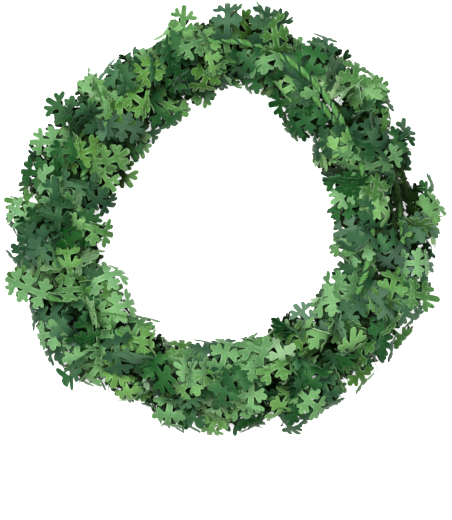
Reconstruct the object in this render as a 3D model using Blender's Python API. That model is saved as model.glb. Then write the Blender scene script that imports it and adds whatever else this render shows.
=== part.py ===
"""A leaf garland: one long wired strand, dressed with die-cut leaf ribbon, wound into a flat ring.

The strand makes six turns that lie beside and on each other, and its end is wrapped once across the bundle.
A thin wire runs through a ribbon sleeve for the whole length. Leaf sprigs lie along the sleeve: each is a
short strip of ribbon with lobed leaves cut out of its edges and folded away from it, all one piece of fabric.

Metres, +Z up. The ring lies on the plane z = 0, and the origin is under the middle of its bounding box.
"""

import math
import random

import bmesh
import bpy
from mathutils import Matrix, Vector
from mathutils.bvhtree import BVHTree

MM = 0.001
SEED = 23
UP = Vector((0, 0, 1))

# The ring that the turns follow: its mean radius, and the few slow waves of a ring wound by hand, each as
# its number of waves, its size in mm and the angle of its crest.
RING_RADIUS = 77.8 * MM
RING_WAVES = ((1, 1.9, -138), (2, 1.3, 59), (3, 2.0, -36), (4, 1.0, 0))

# Where each turn lies in the bundle: across it from the ring's radius, and above the surface, in mm.
# The last turn has no fixed slot: it wanders over the top. Its end comes down beside its start.
SLOTS = ((10.5, 7.6), (-0.5, 7.6), (-11.0, 7.6), (-6.5, 16.6), (5.5, 16.6))
TOP_HEIGHT = 24.5
END_SLOT = (-13.0, 22.0)
TURNS = 6
WRAP_ANGLE = math.radians(203)  # where the end crosses the bundle, and where each turn starts in its slot
CHANGE = 0.25  # the share of a turn in which it moves over to the next slot
START, END = 0.09, 5.965  # in turns from the wrap's angle
WOBBLE = 0.7
STEPS_PER_TURN = 24

# The wrapped end, as (along the ring, across it, height) in mm about the wrap's place.
WRAP = (
    (-9.0, -13.2, 22.8),
    (-3.0, -13.6, 24.4),
    (2.8, -11.8, 27.0),
    (5.4, -7.2, 28.6),
    (4.4, -1.6, 28.2),
    (1.8, 3.4, 26.8),
    (-1.4, 8.0, 24.0),
    (-3.4, 11.8, 19.8),
    (-4.0, 13.2, 14.6),
    (-3.4, 12.2, 9.0),
    (-2.0, 8.6, 4.8),
    (0.0, 3.4, 3.2),
    (1.8, -2.0, 3.2),
)
WRAP_STEP = 2.6 * MM

# The wire and the ribbon sleeve around it: radii at their corners.
WIRE_RADIUS = 0.35 * MM
SLEEVE_INNER, SLEEVE_OUTER = 0.85 * MM, 1.3 * MM
WIRE_SIDES, SLEEVE_SIDES = 4, 5

# The fabric, and the strip of it that carries a sprig's leaves, which lies against the sleeve.
THICKNESS = 0.5 * MM
GAP = 0.3 * MM
STRIP_RADIUS = SLEEVE_OUTER + GAP + THICKNESS / 2
STRIP_HALF_LENGTH, STRIP_HALF_WIDTH = 5.6 * MM, 1.4 * MM

# A leaf: half of its blade's outline, from the fold at its strap to its tip, as (half width, distance past
# the fold) in mm. A strip has two leaves on each edge, their straps so far from its middle.
LOBES = ((6.7, 3.6), (1.7, 6.0), (6.3, 10.2), (1.6, 12.4), (1.5, 15.4))
TIP = 17.4
STRAP_HALF_WIDTH = 1.4 * MM
STRAP_LENGTH = 5.0 * MM
STRAP_PLACE = 3.6 * MM
SMALLEST, LARGEST = 0.92, 1.08
MOST_STRAP_BEND = math.radians(75)

SPRIGS = 50
TONES = ("light", "dark", "dark", "light", "dark", "light", "light", "dark")
TRIES = 300
CLEARANCE = 0.35 * MM
CLEAR_FROM = 0.25  # the share of a strap, from its start, that may be close to its own strip
NEIGHBOURS = 60 * MM

# How far leaves may reach from the ring's radius, and up, in mm.
REACH_IN, REACH_OUT, REACH_UP = -27.0, 25.5, 35.0
BUNDLE_MIDDLE = 13 * MM
ROUNDING = 1e-6

# Colour, roughness and metallic value of each finish.
FINISHES = {
    "wire": ((0.20, 0.21, 0.20), 0.45, 1.0),
    "ribbon": ((0.10, 0.27, 0.08), 0.80, 0.0),
    "light": ((0.13, 0.38, 0.09), 0.75, 0.0),
    "dark": ((0.045, 0.14, 0.06), 0.75, 0.0),
}


def ring_radius(angle):
    """The ring's radius at an angle."""
    waves = (size * math.cos(number * (angle - math.radians(crest))) for number, size, crest in RING_WAVES)
    return RING_RADIUS + sum(waves) * MM


def ring_point(angle, across, height):
    """The point at an angle, so many mm across from the ring's radius, and so many high."""
    radius = ring_radius(angle) + across * MM
    return Vector((radius * math.cos(angle), radius * math.sin(angle), height * MM))


def across_ring(point):
    """How far out from the ring's radius a point lies."""
    return math.hypot(point.x, point.y) - ring_radius(math.atan2(point.y, point.x))


def slot(number, angle):
    """Where a turn lies at an angle. The last one is outside at the top of the ring and inside at the right."""
    if number < len(SLOTS):
        return SLOTS[number]
    if number == TURNS:
        return END_SLOT
    turned = angle - math.radians(20)
    return -5.2 + 6.0 * math.sin(turned) - 2.2 * math.cos(2 * turned), TOP_HEIGHT


def coil_point(turns):
    """The strand's middle, so many turns from the wrap's angle."""
    angle = WRAP_ANGLE + 2 * math.pi * turns
    number = int(turns)
    share = max((turns - number - 1 + CHANGE) / CHANGE, 0)
    share = share * share * (3 - 2 * share)
    here, there = slot(number, angle), slot(number + 1, angle)
    across, height = (a + (b - a) * share for a, b in zip(here, there))
    across += WOBBLE * math.sin(19.0 * turns + 1.3)
    height += WOBBLE * math.sin(26.5 * turns + 0.7)
    return ring_point(angle, across, height)


def smooth(points, step):
    """Points about a step apart on a Catmull-Rom curve through these points."""
    line = []
    ends = [points[0] * 2 - points[1], *points, points[-1] * 2 - points[-2]]
    for a, b, c, d in zip(ends, ends[1:], ends[2:], ends[3:]):
        pieces = max(1, round((c - b).length / step))
        for t in (i / pieces for i in range(pieces)):
            curved = (2 * a - 5 * b + 4 * c - d) * t**2 + (3 * b - 3 * c + d - a) * t**3
            line.append((2 * b + (c - a) * t + curved) / 2)
    return [*line, points[-1]]


def strand_line():
    """The strand's middle from end to end, as a polyline, and how many of its runs lie in the coil."""
    runs = round((END - START) * STEPS_PER_TURN)
    coil = [coil_point(START + (END - START) * i / runs) for i in range(runs + 1)]
    turn = ring_radius(WRAP_ANGLE) / MM
    wrap = [ring_point(WRAP_ANGLE + along / turn, across, height) for along, across, height in WRAP]
    return coil[:-1] + smooth([coil[-1], *wrap], WRAP_STEP), runs


def direction(line, i):
    """A line's direction at one of its points, midway between those of its two runs there."""
    runs = [line[j + 1] - line[j] for j in (i - 1, i) if 0 <= j < len(line) - 1]
    return sum((run.normalized() for run in runs), Vector()).normalized()


def polygon(middle, side, up, radius, sides):
    """The corners of a regular polygon."""
    turns = (2 * math.pi * i / sides for i in range(sides))
    return [middle + (side * math.cos(a) + up * math.sin(a)) * radius for a in turns]


def band(first, second, sides):
    """The faces between two rings of corners, given the number of each ring's first corner."""
    return [
        (first + i, first + (i + 1) % sides, second + (i + 1) % sides, second + i) for i in range(sides)
    ]


def tube(line, outer, sides, inner=None):
    """A tube along a line, as (points, faces): solid, or hollow and open at its ends."""
    points, faces = [], []
    radii = [outer] if inner is None else [outer, inner]
    for radius in radii:
        start, side = len(points), UP
        for i, middle in enumerate(line):
            tangent = direction(line, i)
            side = (side - tangent * side.dot(tangent)).normalized()
            points += polygon(middle, side, tangent.cross(side), radius, sides)
        for ring in range(len(line) - 1):
            faces += band(start + ring * sides, start + (ring + 1) * sides, sides)
    last = (len(line) - 1) * sides
    if inner is None:
        return points, [*faces, tuple(range(sides)), tuple(range(last, last + sides))]
    hollow = len(line) * sides
    return points, faces + band(0, hollow, sides) + band(last, hollow + last, sides)


def walls(corners, offset):
    """The faces of a rim, along corners of a lower layer and the same ones of the layer above it."""
    return [(a, b, b + offset, a + offset) for a, b in zip(corners, corners[1:])]


def layers(place, corners, margin=0.0):
    """The points of a flat sheet's lower face and of its upper face."""
    lift = THICKNESS / 2 + margin
    return [[place @ Vector((x, y, z)) for x, y in corners] for z in (-lift, lift)]


def blade_rim(scale, margin=0.0):
    """The corners of a blade, from the right end of its fold round its tip to the left end."""
    lobes = [(x * MM * scale + margin, y * MM * scale) for x, y in LOBES]
    half = [(STRAP_HALF_WIDTH + margin, 0.0), *lobes]
    return [*half, (0.0, TIP * MM * scale + margin), *((-x, y) for x, y in reversed(half))]


def leaf_faces(right, left, rim, corners, offset):
    """The faces of a strap and its blade, given the corners of the strap's start and of the blade's rim."""
    faces = walls([right, *range(rim, rim + corners), left], offset)
    for lift in (0, offset):
        start, end = rim + lift, rim + lift + corners - 1
        faces += [(right + lift, left + lift, start), (left + lift, start, end), tuple(range(start, end + 1))]
    return faces


def loose_leaf(root, blade, scale=1.0, margin=0.0):
    """A leaf on its own, as (points, faces), for finding out whether its place is clear.

    root and blade are the places of its strap's start and of its blade, each with the leaf along its +Y and
    its face along its +Z. margin makes the leaf larger and thicker all round.
    """
    half = STRAP_HALF_WIDTH + margin
    starts = layers(root, ((half, 0.0), (-half, 0.0)), margin)
    rims = layers(blade, blade_rim(scale, margin), margin)
    points = [*starts[0], *rims[0], *starts[1], *rims[1]]
    offset = len(points) // 2
    return points, [(0, 1, 1 + offset, offset), *leaf_faces(0, 1, 2, offset - 2, offset)]


def tree_of(shell):
    return BVHTree.FromPolygons(*shell)


def frame(place, side, along):
    """The matrix at a place with its +Y along a direction, and its +X as nearly along side as may be."""
    along = along.normalized()
    side = (side - along * side.dot(along)).normalized()
    turned = Matrix((side, along, side.cross(along))).transposed()
    return Matrix.Translation(place) @ turned.to_4x4()


def degrees(angle, axis):
    """A turn about an axis."""
    return Matrix.Rotation(math.radians(angle), 4, axis)


class Sprig:
    """A strip on the strand, with the leaves that have been given to it.

    A leaf is named by the strip's edge that it's on (-1 or 1) and the end that it's nearer to (-1 or 1).
    """

    PLACES = ((1, 1), (-1, -1), (1, -1), (-1, 1))

    def __init__(self, number, line, run, chance):
        start, end = line[run], line[run + 1]
        self.name = f"turn{run // STEPS_PER_TURN + 1}_{TONES[number % len(TONES)]}_sprig_{number + 1:02d}"
        self.tone = TONES[number % len(TONES)]
        self.middle, self.tangent = (start + end) / 2, (end - start).normalized()
        outside = Vector((self.middle.x, self.middle.y, 0)).normalized()
        away = outside * across_ring(self.middle) + UP * (self.middle.z - BUNDLE_MIDDLE)
        about = math.radians(chance.uniform(-40, 40))
        away = frame(self.middle, Matrix.Rotation(about, 3, self.tangent) @ away, self.tangent).to_3x3().col[0]
        self.place = frame(self.middle + away * STRIP_RADIUS, self.tangent, away.cross(self.tangent))
        self.leaves = {}

    def root(self, edge, end):
        """The place of a strap's start."""
        to_edge = Matrix.Translation((end * STRAP_PLACE, edge * STRIP_HALF_WIDTH, 0))
        return self.place @ to_edge @ degrees(0 if edge > 0 else 180, "Z")

    def standing_blade(self, chance, edge, end):
        """A place for a blade that is folded away from the strip and spreads towards its end."""
        lift = degrees(chance.uniform(-55, 75), "X")
        spread = degrees(chance.uniform(-15, 70) * -end * edge, "Z")
        turned = degrees(chance.uniform(-50, 50), "Y") @ degrees(chance.uniform(-45, 45), "X")
        return self.root(edge, end) @ lift @ spread @ Matrix.Translation((0, STRAP_LENGTH, 0)) @ turned

    def lying_blade(self, chance, edge, end):
        """A place for a blade that lies flat on the surface, with its strap bent down to it, or None."""
        root = self.root(edge, end)
        ahead, face = root.to_3x3().col[1], root.to_3x3().col[2]
        level = Vector((*ahead.xy, 0)).normalized()
        slope = math.tan(math.radians(chance.uniform(38, 72)))
        start = root.translation + level * (root.translation.z / slope)
        start.z = THICKNESS / 2
        heading = degrees(chance.uniform(-75, 75), "Z").to_3x3() @ level
        if ahead.angle(start - root.translation, math.pi) > MOST_STRAP_BEND:
            return None
        return frame(start, heading.cross(UP if face.z > 0 else -UP), heading)

    def shell(self):
        """The strip and its leaves as one closed shell, (points, faces)."""
        inner, outer = STRAP_PLACE - STRAP_HALF_WIDTH, STRAP_PLACE + STRAP_HALF_WIDTH
        columns = (-STRIP_HALF_LENGTH, -outer, -inner, inner, outer, STRIP_HALF_LENGTH)
        corners = [(x, edge * STRIP_HALF_WIDTH) for x in columns for edge in (-1, 1)]
        low, high = layers(self.place, corners)
        first_column = {-1: 1, 1: 3}
        offset = len(low) + sum(len(blade_rim(scale)) for _, scale in self.leaves.values())
        ends = ((0, 1), (len(low) - 2, len(low) - 1))
        faces = [face for pair in ends for face in walls(pair, offset)]
        for i in range(0, len(low) - 2, 2):
            faces += [(i, i + 1, i + 3, i + 2), (i + offset, i + 1 + offset, i + 3 + offset, i + 2 + offset)]
            for edge in (-1, 1):
                near = i + (edge + 1) // 2
                end = next((e for e, column in first_column.items() if 2 * column == i), 0)
                if (edge, end) not in self.leaves:
                    faces += walls((near, near + 2), offset)
                    continue
                blade, scale = self.leaves[edge, end]
                rims = layers(blade, blade_rim(scale))
                right, left = (near, near + 2) if edge < 0 else (near + 2, near)
                faces += leaf_faces(right, left, len(low), len(rims[0]), offset)
                low += rims[0]
                high += rims[1]
        return low + high, faces


def in_reach(points):
    return all(
        REACH_IN * MM < across_ring(p) < REACH_OUT * MM and -ROUNDING < p.z < REACH_UP * MM for p in points
    )


class Garland:
    """The whole strand. Its leaves are placed one by one, so that none meets a piece already there."""

    def __init__(self):
        self.chance = random.Random(SEED)
        self.line, runs = strand_line()
        self.strand = tree_of(tube(self.line, SLEEVE_OUTER, SLEEVE_SIDES))
        self.sprigs, self.placed = [], []
        for number in range(SPRIGS):
            wanted = round((number + 0.5) * runs / SPRIGS - 0.5)
            near = (Sprig(number, self.line, run, self.chance) for run in (wanted, wanted + 1, wanted - 1))
            sprig, tree = next(pair for pair in ((s, tree_of(s.shell())) for s in near) if self.is_free(pair[1]))
            self.sprigs.append(sprig)
            self.placed.append((sprig, tree))

    def is_free(self, tree):
        """Whether a strip meets neither the strand nor another strip."""
        return not any(tree.overlap(other) for other in (self.strand, *(t for _, t in self.placed)))

    def is_clear(self, sprig, exact, wide):
        """Whether a leaf meets nothing, given its shell and the larger one that holds its clearance."""
        if wide.overlap(self.strand):
            return False
        near = [(s, tree) for s, tree in self.placed if (s.middle - sprig.middle).length < NEIGHBOURS]
        own_strip = next(tree for s, tree in near if s is sprig)
        return not any(wide.overlap(t) or (t is not own_strip and exact.overlap(t)) for _, t in near)

    def give_leaf(self, sprig, place, edge, end):
        """Tries places for a blade until its leaf is clear, and says whether it found one."""
        root = sprig.root(edge, end)
        for _ in range(TRIES):
            blade, scale = place(self.chance, edge, end), self.chance.uniform(SMALLEST, LARGEST)
            if blade is None:
                continue
            shell = loose_leaf(root, blade, scale)
            if not in_reach(shell[0]):
                continue
            exact = tree_of(shell)
            past = Matrix.Translation((blade.translation - root.translation) * CLEAR_FROM) @ root
            if self.is_clear(sprig, exact, tree_of(loose_leaf(past, blade, scale, CLEARANCE))):
                sprig.leaves[edge, end] = (blade, scale)
                self.placed.append((sprig, exact))
                return True
        return False

    def grow(self):
        """Gives the sprigs their leaves: first those that lie on the surface, then those that stand out."""
        for sprig in self.sprigs:
            if sprig.middle.z < BUNDLE_MIDDLE:
                any(self.give_leaf(sprig, sprig.lying_blade, *where) for where in Sprig.PLACES)
        for where in Sprig.PLACES:
            for sprig in self.sprigs:
                if where not in sprig.leaves:
                    self.give_leaf(sprig, sprig.standing_blade, *where)

    def build(self):
        add("core_wire", tube(self.line, WIRE_RADIUS, WIRE_SIDES), "wire")
        add("ribbon_sleeve", tube(self.line, SLEEVE_OUTER, SLEEVE_SIDES, SLEEVE_INNER), "ribbon")
        for sprig in self.sprigs:
            add(sprig.name, sprig.shell(), sprig.tone)


def finish(name):
    """The material of this name, made when it is first asked for."""
    made = bpy.data.materials.get(name)
    if made is None:
        colour, roughness, metallic = FINISHES[name]
        made = bpy.data.materials.new(name)
        made.use_nodes = True
        made.diffuse_color = (*colour, 1)
        shader = made.node_tree.nodes["Principled BSDF"].inputs
        shader["Base Color"].default_value = (*colour, 1)
        shader["Roughness"].default_value = roughness
        shader["Metallic"].default_value = metallic
    return made


def add(name, shell, material):
    """A piece from a closed shell, (points, faces), with its faces turned outwards."""
    points, faces = shell
    mesh = bpy.data.meshes.new(name)
    mesh.from_pydata([tuple(p) for p in points], [], faces)
    bm = bmesh.new()
    bm.from_mesh(mesh)
    bmesh.ops.recalc_face_normals(bm, faces=bm.faces)
    bm.to_mesh(mesh)
    bm.free()
    mesh.materials.append(finish(material))
    bpy.context.scene.collection.objects.link(bpy.data.objects.new(name, mesh))


def centre():
    """Moves everything so that the origin is under the middle of the bounding box."""
    meshes = [piece.data for piece in bpy.data.objects if piece.type == "MESH"]
    places = [vertex.co for mesh in meshes for vertex in mesh.vertices]
    low, high = (Vector([pick(p[axis] for p in places) for axis in range(3)]) for pick in (min, max))
    shift = -Vector(((low.x + high.x) / 2, (low.y + high.y) / 2, low.z))
    for mesh in meshes:
        mesh.transform(Matrix.Translation(shift))


def main():
    for old in list(bpy.data.objects):
        bpy.data.objects.remove(old)
    garland = Garland()
    garland.grow()
    garland.build()
    centre()


main()
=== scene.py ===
"""The looks of a leaf garland: a wired strand of die-cut leaf ribbon, wound into a flat ring.

Two ribbons, one leaf green and one bottle green, are twisted round a thin wire along the whole strand. The
leaves cut out of them stand away from the twist on all sides. The strand makes six turns that lie beside
and on each other, and its end is wrapped once across the bundle.

The frame gives the places. Lengths are in metres, and in millimetres where a name ends in _mm.
"""

import logging
import math
import random
import re
from dataclasses import dataclass, field, replace
from enum import Enum

import bpy
import numpy as np
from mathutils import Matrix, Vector
from mathutils.bvhtree import BVHTree
from mathutils.geometry import delaunay_2d_cdt


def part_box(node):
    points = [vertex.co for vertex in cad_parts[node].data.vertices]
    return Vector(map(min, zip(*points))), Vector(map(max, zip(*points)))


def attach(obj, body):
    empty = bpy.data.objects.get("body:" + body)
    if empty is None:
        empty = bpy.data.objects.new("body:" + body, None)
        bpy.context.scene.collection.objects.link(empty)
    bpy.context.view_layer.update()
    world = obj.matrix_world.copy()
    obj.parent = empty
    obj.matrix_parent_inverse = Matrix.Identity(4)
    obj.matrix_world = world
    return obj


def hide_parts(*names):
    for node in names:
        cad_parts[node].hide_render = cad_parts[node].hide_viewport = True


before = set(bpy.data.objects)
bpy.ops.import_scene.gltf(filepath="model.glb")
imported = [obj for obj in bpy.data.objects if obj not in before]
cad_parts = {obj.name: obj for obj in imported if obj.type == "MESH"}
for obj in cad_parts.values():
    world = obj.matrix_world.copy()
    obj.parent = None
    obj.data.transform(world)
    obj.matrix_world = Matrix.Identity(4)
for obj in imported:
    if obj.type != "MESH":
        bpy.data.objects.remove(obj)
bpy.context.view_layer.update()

Tree, Socket, Material = bpy.types.NodeTree, bpy.types.NodeSocket, bpy.types.Material
LOG = logging.getLogger("leaf_garland")
MM = 0.001
BODY = "root"
UP = np.array((0.0, 0.0, 1.0))
FULL_TURN = 2 * math.pi
PLAIN_GREEN = (0.1, 0.3, 0.1, 1)


class Tone(Enum):
    """The two ribbons that the strand is twisted from."""

    LIGHT = "light"
    DARK = "dark"


def unit(vector: np.ndarray) -> np.ndarray:
    """The vector at length one."""
    return vector / np.linalg.norm(vector)


def turned(vector: np.ndarray, axis: np.ndarray, angle: float) -> np.ndarray:
    """A vector turned about a unit axis, by an angle in radians."""
    cosine, sine = math.cos(angle), math.sin(angle)
    return vector * cosine + np.cross(axis, vector) * sine + axis * (axis @ vector) * (1 - cosine)


def apart(angle: float, other: float) -> float:
    """By how many degrees an angle lies past another one, within half a turn."""
    return (angle - other + 180) % 360 - 180


def smoothstep(x: np.ndarray) -> np.ndarray:
    """A soft step from 0 at x = 0 to 1 at x = 1."""
    x = np.clip(x, 0.0, 1.0)
    return x * x * (3 - 2 * x)


# --------------------------------------------------------------------------------------------------------
# The strand
# --------------------------------------------------------------------------------------------------------


def run_lengths(points: np.ndarray) -> np.ndarray:
    """How far along a polyline each of its points lies."""
    runs = np.linalg.norm(np.diff(points, axis=0), axis=1)
    return np.concatenate([[0.0], np.cumsum(runs)])


def catmull_rom(knots: list, pieces: int) -> list:
    """Points on a Catmull-Rom curve through knots, with so many pieces between each two."""
    ends = [knots[0] * 2 - knots[1], *knots, knots[-1] * 2 - knots[-2]]
    line = []
    for a, b, c, d in zip(ends, ends[1:], ends[2:], ends[3:]):
        for t in (i / pieces for i in range(pieces)):
            curved = (2 * a - 5 * b + 4 * c - d) * t**2 + (3 * b - 3 * c + d - a) * t**3
            line.append((2 * b + (c - a) * t + curved) / 2)
    return [*line, knots[-1]]


@dataclass(frozen=True)
class StrandRoute:
    """The route of the strand: six turns in a loose bundle, then one wrap across it."""

    ring_radius_mm: float = 77.8
    waves: tuple = ((1, 1.9, -138), (2, 1.3, 59), (3, 2.0, -36), (4, 1.0, 0))
    slots: tuple = ((10.5, 7.6), (-0.5, 7.6), (-11.0, 7.6), (-6.5, 16.6), (5.5, 16.6))
    top_height_mm: float = 24.5
    top_middle_mm: float = -5.2
    top_sways_mm: tuple = (6.0, 2.2)
    top_start: float = math.radians(20)
    end_slot: tuple = (-13.0, 22.0)
    turns: int = 6
    wrap_angle: float = math.radians(203)
    change: float = 0.25
    start: float = 0.09
    end: float = 5.965
    wobble_mm: float = 0.7
    wobbles: tuple = ((19.0, 1.3), (26.5, 0.7))
    steps_per_turn: int = 160
    wrap: tuple = (
        (-9.0, -13.2, 22.8),
        (-3.0, -13.6, 24.4),
        (2.8, -11.8, 27.0),
        (5.4, -7.2, 28.6),
        (4.4, -1.6, 28.2),
        (1.8, 3.4, 26.8),
        (-1.4, 8.0, 24.0),
        (-3.4, 11.8, 19.8),
        (-4.0, 13.2, 14.6),
        (-3.4, 12.2, 9.0),
        (-2.0, 8.6, 4.8),
        (0.0, 3.4, 3.2),
        (1.8, -2.0, 3.2),
    )
    wrap_pieces: int = 8
    sleeve_radius_mm: float = 1.3
    step: float = 0.7 * MM

    def radius(self, angle: float) -> float:
        """The ring's radius at an angle."""
        waves = (size * math.cos(count * (angle - math.radians(crest))) for count, size, crest in self.waves)
        return (self.ring_radius_mm + sum(waves)) * MM

    def point(self, angle: float, across_mm: float, height_mm: float) -> np.ndarray:
        """The point at an angle, so far out from the ring's radius and so high, about the ring's centre."""
        radius = self.radius(angle) + across_mm * MM
        return np.array((radius * math.cos(angle), radius * math.sin(angle), height_mm * MM))

    def slot(self, number: int, angle: float) -> tuple[float, float]:
        """Where a turn lies in the bundle at an angle, as (across, height) in mm."""
        if number < len(self.slots):
            return self.slots[number]
        if number == self.turns:
            return self.end_slot
        around, (once, twice) = angle - self.top_start, self.top_sways_mm
        across = self.top_middle_mm + once * math.sin(around) - twice * math.cos(2 * around)
        return across, self.top_height_mm

    def coil_point(self, turns: float) -> np.ndarray:
        """The strand's middle, so many turns from the wrap's angle."""
        angle = self.wrap_angle + FULL_TURN * turns
        number = int(turns)
        share = smoothstep((turns - number - 1 + self.change) / self.change)
        here, there = self.slot(number, angle), self.slot(number + 1, angle)
        across, height = (a + (b - a) * share for a, b in zip(here, there))
        sideways, up = (self.wobble_mm * math.sin(rate * turns + first) for rate, first in self.wobbles)
        return self.point(angle, across + sideways, height + up)

    def line(self) -> tuple[np.ndarray, float]:
        """The strand's middle from end to end.

        Returns:
            Its points, evenly spaced, about the ring's centre, and the share of them that lies in the coil.
        """
        runs = round((self.end - self.start) * self.steps_per_turn)
        coil = [self.coil_point(t) for t in np.linspace(self.start, self.end, runs + 1)]
        round_mm = self.radius(self.wrap_angle) / MM
        knots = [coil[-1], *(self.point(self.wrap_angle + a / round_mm, b, c) for a, b, c in self.wrap)]
        points = np.array([*coil, *catmull_rom(knots, self.wrap_pieces)[1:]])
        along = run_lengths(points)
        even = np.linspace(0, along[-1], round(along[-1] / self.step) + 1)
        line = np.stack([np.interp(even, along, points[:, axis]) for axis in range(3)], 1)
        return line, along[len(coil) - 1] / along[-1]


@dataclass
class Strand:
    """The strand's middle line in the frame, and what lies about it."""

    route: StrandRoute = field(default_factory=StrandRoute)
    bundle_across_mm: float = -0.8
    bundle_height_mm: float = 13.0
    above_share: float = 0.4

    def __post_init__(self) -> None:
        """Puts the route where the frame's sleeve lies."""
        points, self.coil_share = self.route.line()
        radius = self.route.sleeve_radius_mm * MM
        low, high = (np.array(corner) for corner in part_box("ribbon_sleeve"))
        self.centre = (low + high - points.min(0) - points.max(0)) / 2
        self.centre[2] = low[2] + radius - points[:, 2].min()
        self.points = points + self.centre
        self.along = run_lengths(self.points)
        self.length = float(self.along[-1])
        self.tangents = np.gradient(self.points, axis=0)
        self.tangents /= np.linalg.norm(self.tangents, axis=1)[:, None]

    def index(self, distance: float) -> int:
        """The number of the point nearest to a distance along the strand."""
        last = len(self.points) - 1
        return int(min(max(round(distance / self.length * last), 0), last))

    def nearest(self, spot: np.ndarray) -> int:
        """The number of the point nearest to a spot as seen from above, preferring those above it."""
        gaps = self.points - spot
        above = np.maximum(-gaps[:, 2], 0)
        return int(np.argmin(np.hypot(gaps[:, 0], gaps[:, 1]) + self.above_share * above))

    def across(self, points: np.ndarray) -> np.ndarray:
        """How far out from the ring's radius points lie, in mm."""
        flat = points[..., :2] - self.centre[:2]
        angle = np.arctan2(flat[..., 1], flat[..., 0])
        route = self.route
        waves = (size * np.cos(count * (angle - math.radians(crest))) for count, size, crest in route.waves)
        return np.linalg.norm(flat, axis=-1) / MM - route.ring_radius_mm - sum(waves)

    def outward(self, point: np.ndarray) -> np.ndarray:
        """The level direction away from the ring's centre at a point."""
        flat = point - self.centre
        return unit(np.array((flat[0], flat[1], 0.0)))

    def outside(self, point: np.ndarray) -> float:
        """The angle at which the bundle's outside lies from a point, where 0 is outward."""
        across = float(self.across(point)) - self.bundle_across_mm
        height = (point[2] - self.centre[2]) / MM - self.bundle_height_mm
        return math.atan2(height, across)

    def spot(self, right_mm: float, up_mm: float, height_mm: float) -> np.ndarray:
        """The point so far to the right of and above the ring's centre, as seen from above, and so high."""
        return self.centre + np.array((right_mm, up_mm, height_mm)) * MM


# --------------------------------------------------------------------------------------------------------
# Meshes
# --------------------------------------------------------------------------------------------------------


@dataclass
class MeshParts:
    """The shells of a piece, gathered one by one, with the marks that its finish reads."""

    points: list = field(default_factory=list)
    faces: list = field(default_factory=list)
    marks: dict = field(default_factory=dict)
    count: int = 0

    def add(self, points: np.ndarray, faces: list, **marks: np.ndarray) -> None:
        """Adds a shell.

        Args:
            points: Its points.
            faces: Its faces, as arrays of rows that number its own points.
            **marks: For each of its points, three numbers.
        """
        self.points.append(points)
        self.faces += [rows + self.count for rows in faces]
        for name, values in marks.items():
            self.marks.setdefault(name, []).append(values)
        self.count += len(points)

    def piece(self, name: str, material: Material, corner: float = 0.9) -> bpy.types.Object:
        """The object made of all shells.

        Args:
            name: Its name.
            material: Its finish.
            corner: The angle from which an edge is shaded as a corner.

        Returns:
            The new object, riding on the garland.
        """
        mesh = bpy.data.meshes.new(name)
        corners = np.concatenate([rows.ravel() for rows in self.faces])
        sizes = np.concatenate([np.full(len(rows), rows.shape[1]) for rows in self.faces])
        starts = np.concatenate([[0], np.cumsum(sizes)[:-1]])
        mesh.vertices.add(self.count)
        mesh.vertices.foreach_set("co", np.concatenate(self.points).astype(np.float32).ravel())
        mesh.loops.add(len(corners))
        mesh.loops.foreach_set("vertex_index", corners.astype(np.int32))
        mesh.polygons.add(len(sizes))
        mesh.polygons.foreach_set("loop_start", starts.astype(np.int32))
        for mark, values in self.marks.items():
            layer = mesh.attributes.new(mark, "FLOAT_VECTOR", "POINT")
            layer.data.foreach_set("vector", np.concatenate(values).astype(np.float32).ravel())
        mesh.update(calc_edges=True)
        mesh.polygons.foreach_set("use_smooth", np.ones(len(sizes), bool))
        mesh.set_sharp_from_angle(angle=corner)
        mesh.materials.append(material)
        made = bpy.data.objects.new(name, mesh)
        bpy.context.scene.collection.objects.link(made)
        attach(made, BODY)
        LOG.info("%s: %d faces", name, len(sizes))
        return made


def grid_faces(rows: int, columns: int) -> np.ndarray:
    """The faces of a tube's side, given rows of corners that each go once around it."""
    row, column = np.meshgrid(np.arange(rows - 1), np.arange(columns), indexing="ij")
    following = (column + 1) % columns
    base, above = row * columns, (row + 1) * columns
    return np.stack([base + column, base + following, above + following, above + column], -1).reshape(-1, 4)


def tube(line: np.ndarray, profile: np.ndarray, spin: np.ndarray | float = 0.0) -> tuple[np.ndarray, list]:
    """A closed tube along a line.

    Args:
        line: Its middle.
        profile: Its radius, for each point of the line and each corner around it.
        spin: By how much each point's corners are turned about the line, in radians.

    Returns:
        Its points, and its faces.
    """
    tangents = np.gradient(line, axis=0)
    tangents /= np.linalg.norm(tangents, axis=1)[:, None]
    side = np.array((0.3, 0.2, 1.0))
    frames = []
    for tangent in tangents:
        side = unit(side - tangent * (side @ tangent))
        frames.append((side, np.cross(tangent, side)))
    frames = np.array(frames)
    rows, sides = profile.shape
    around = np.arange(sides) * FULL_TURN / sides + np.reshape(np.broadcast_to(spin, rows), (-1, 1))
    ring = frames[:, None, 0] * np.cos(around)[..., None] + frames[:, None, 1] * np.sin(around)[..., None]
    points = (line[:, None] + ring * profile[..., None]).reshape(-1, 3)
    ends = np.arange(sides)[None]
    return points, [grid_faces(rows, sides), ends[:, ::-1], ends + (rows - 1) * sides]


# --------------------------------------------------------------------------------------------------------
# Finishes
# --------------------------------------------------------------------------------------------------------


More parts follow.
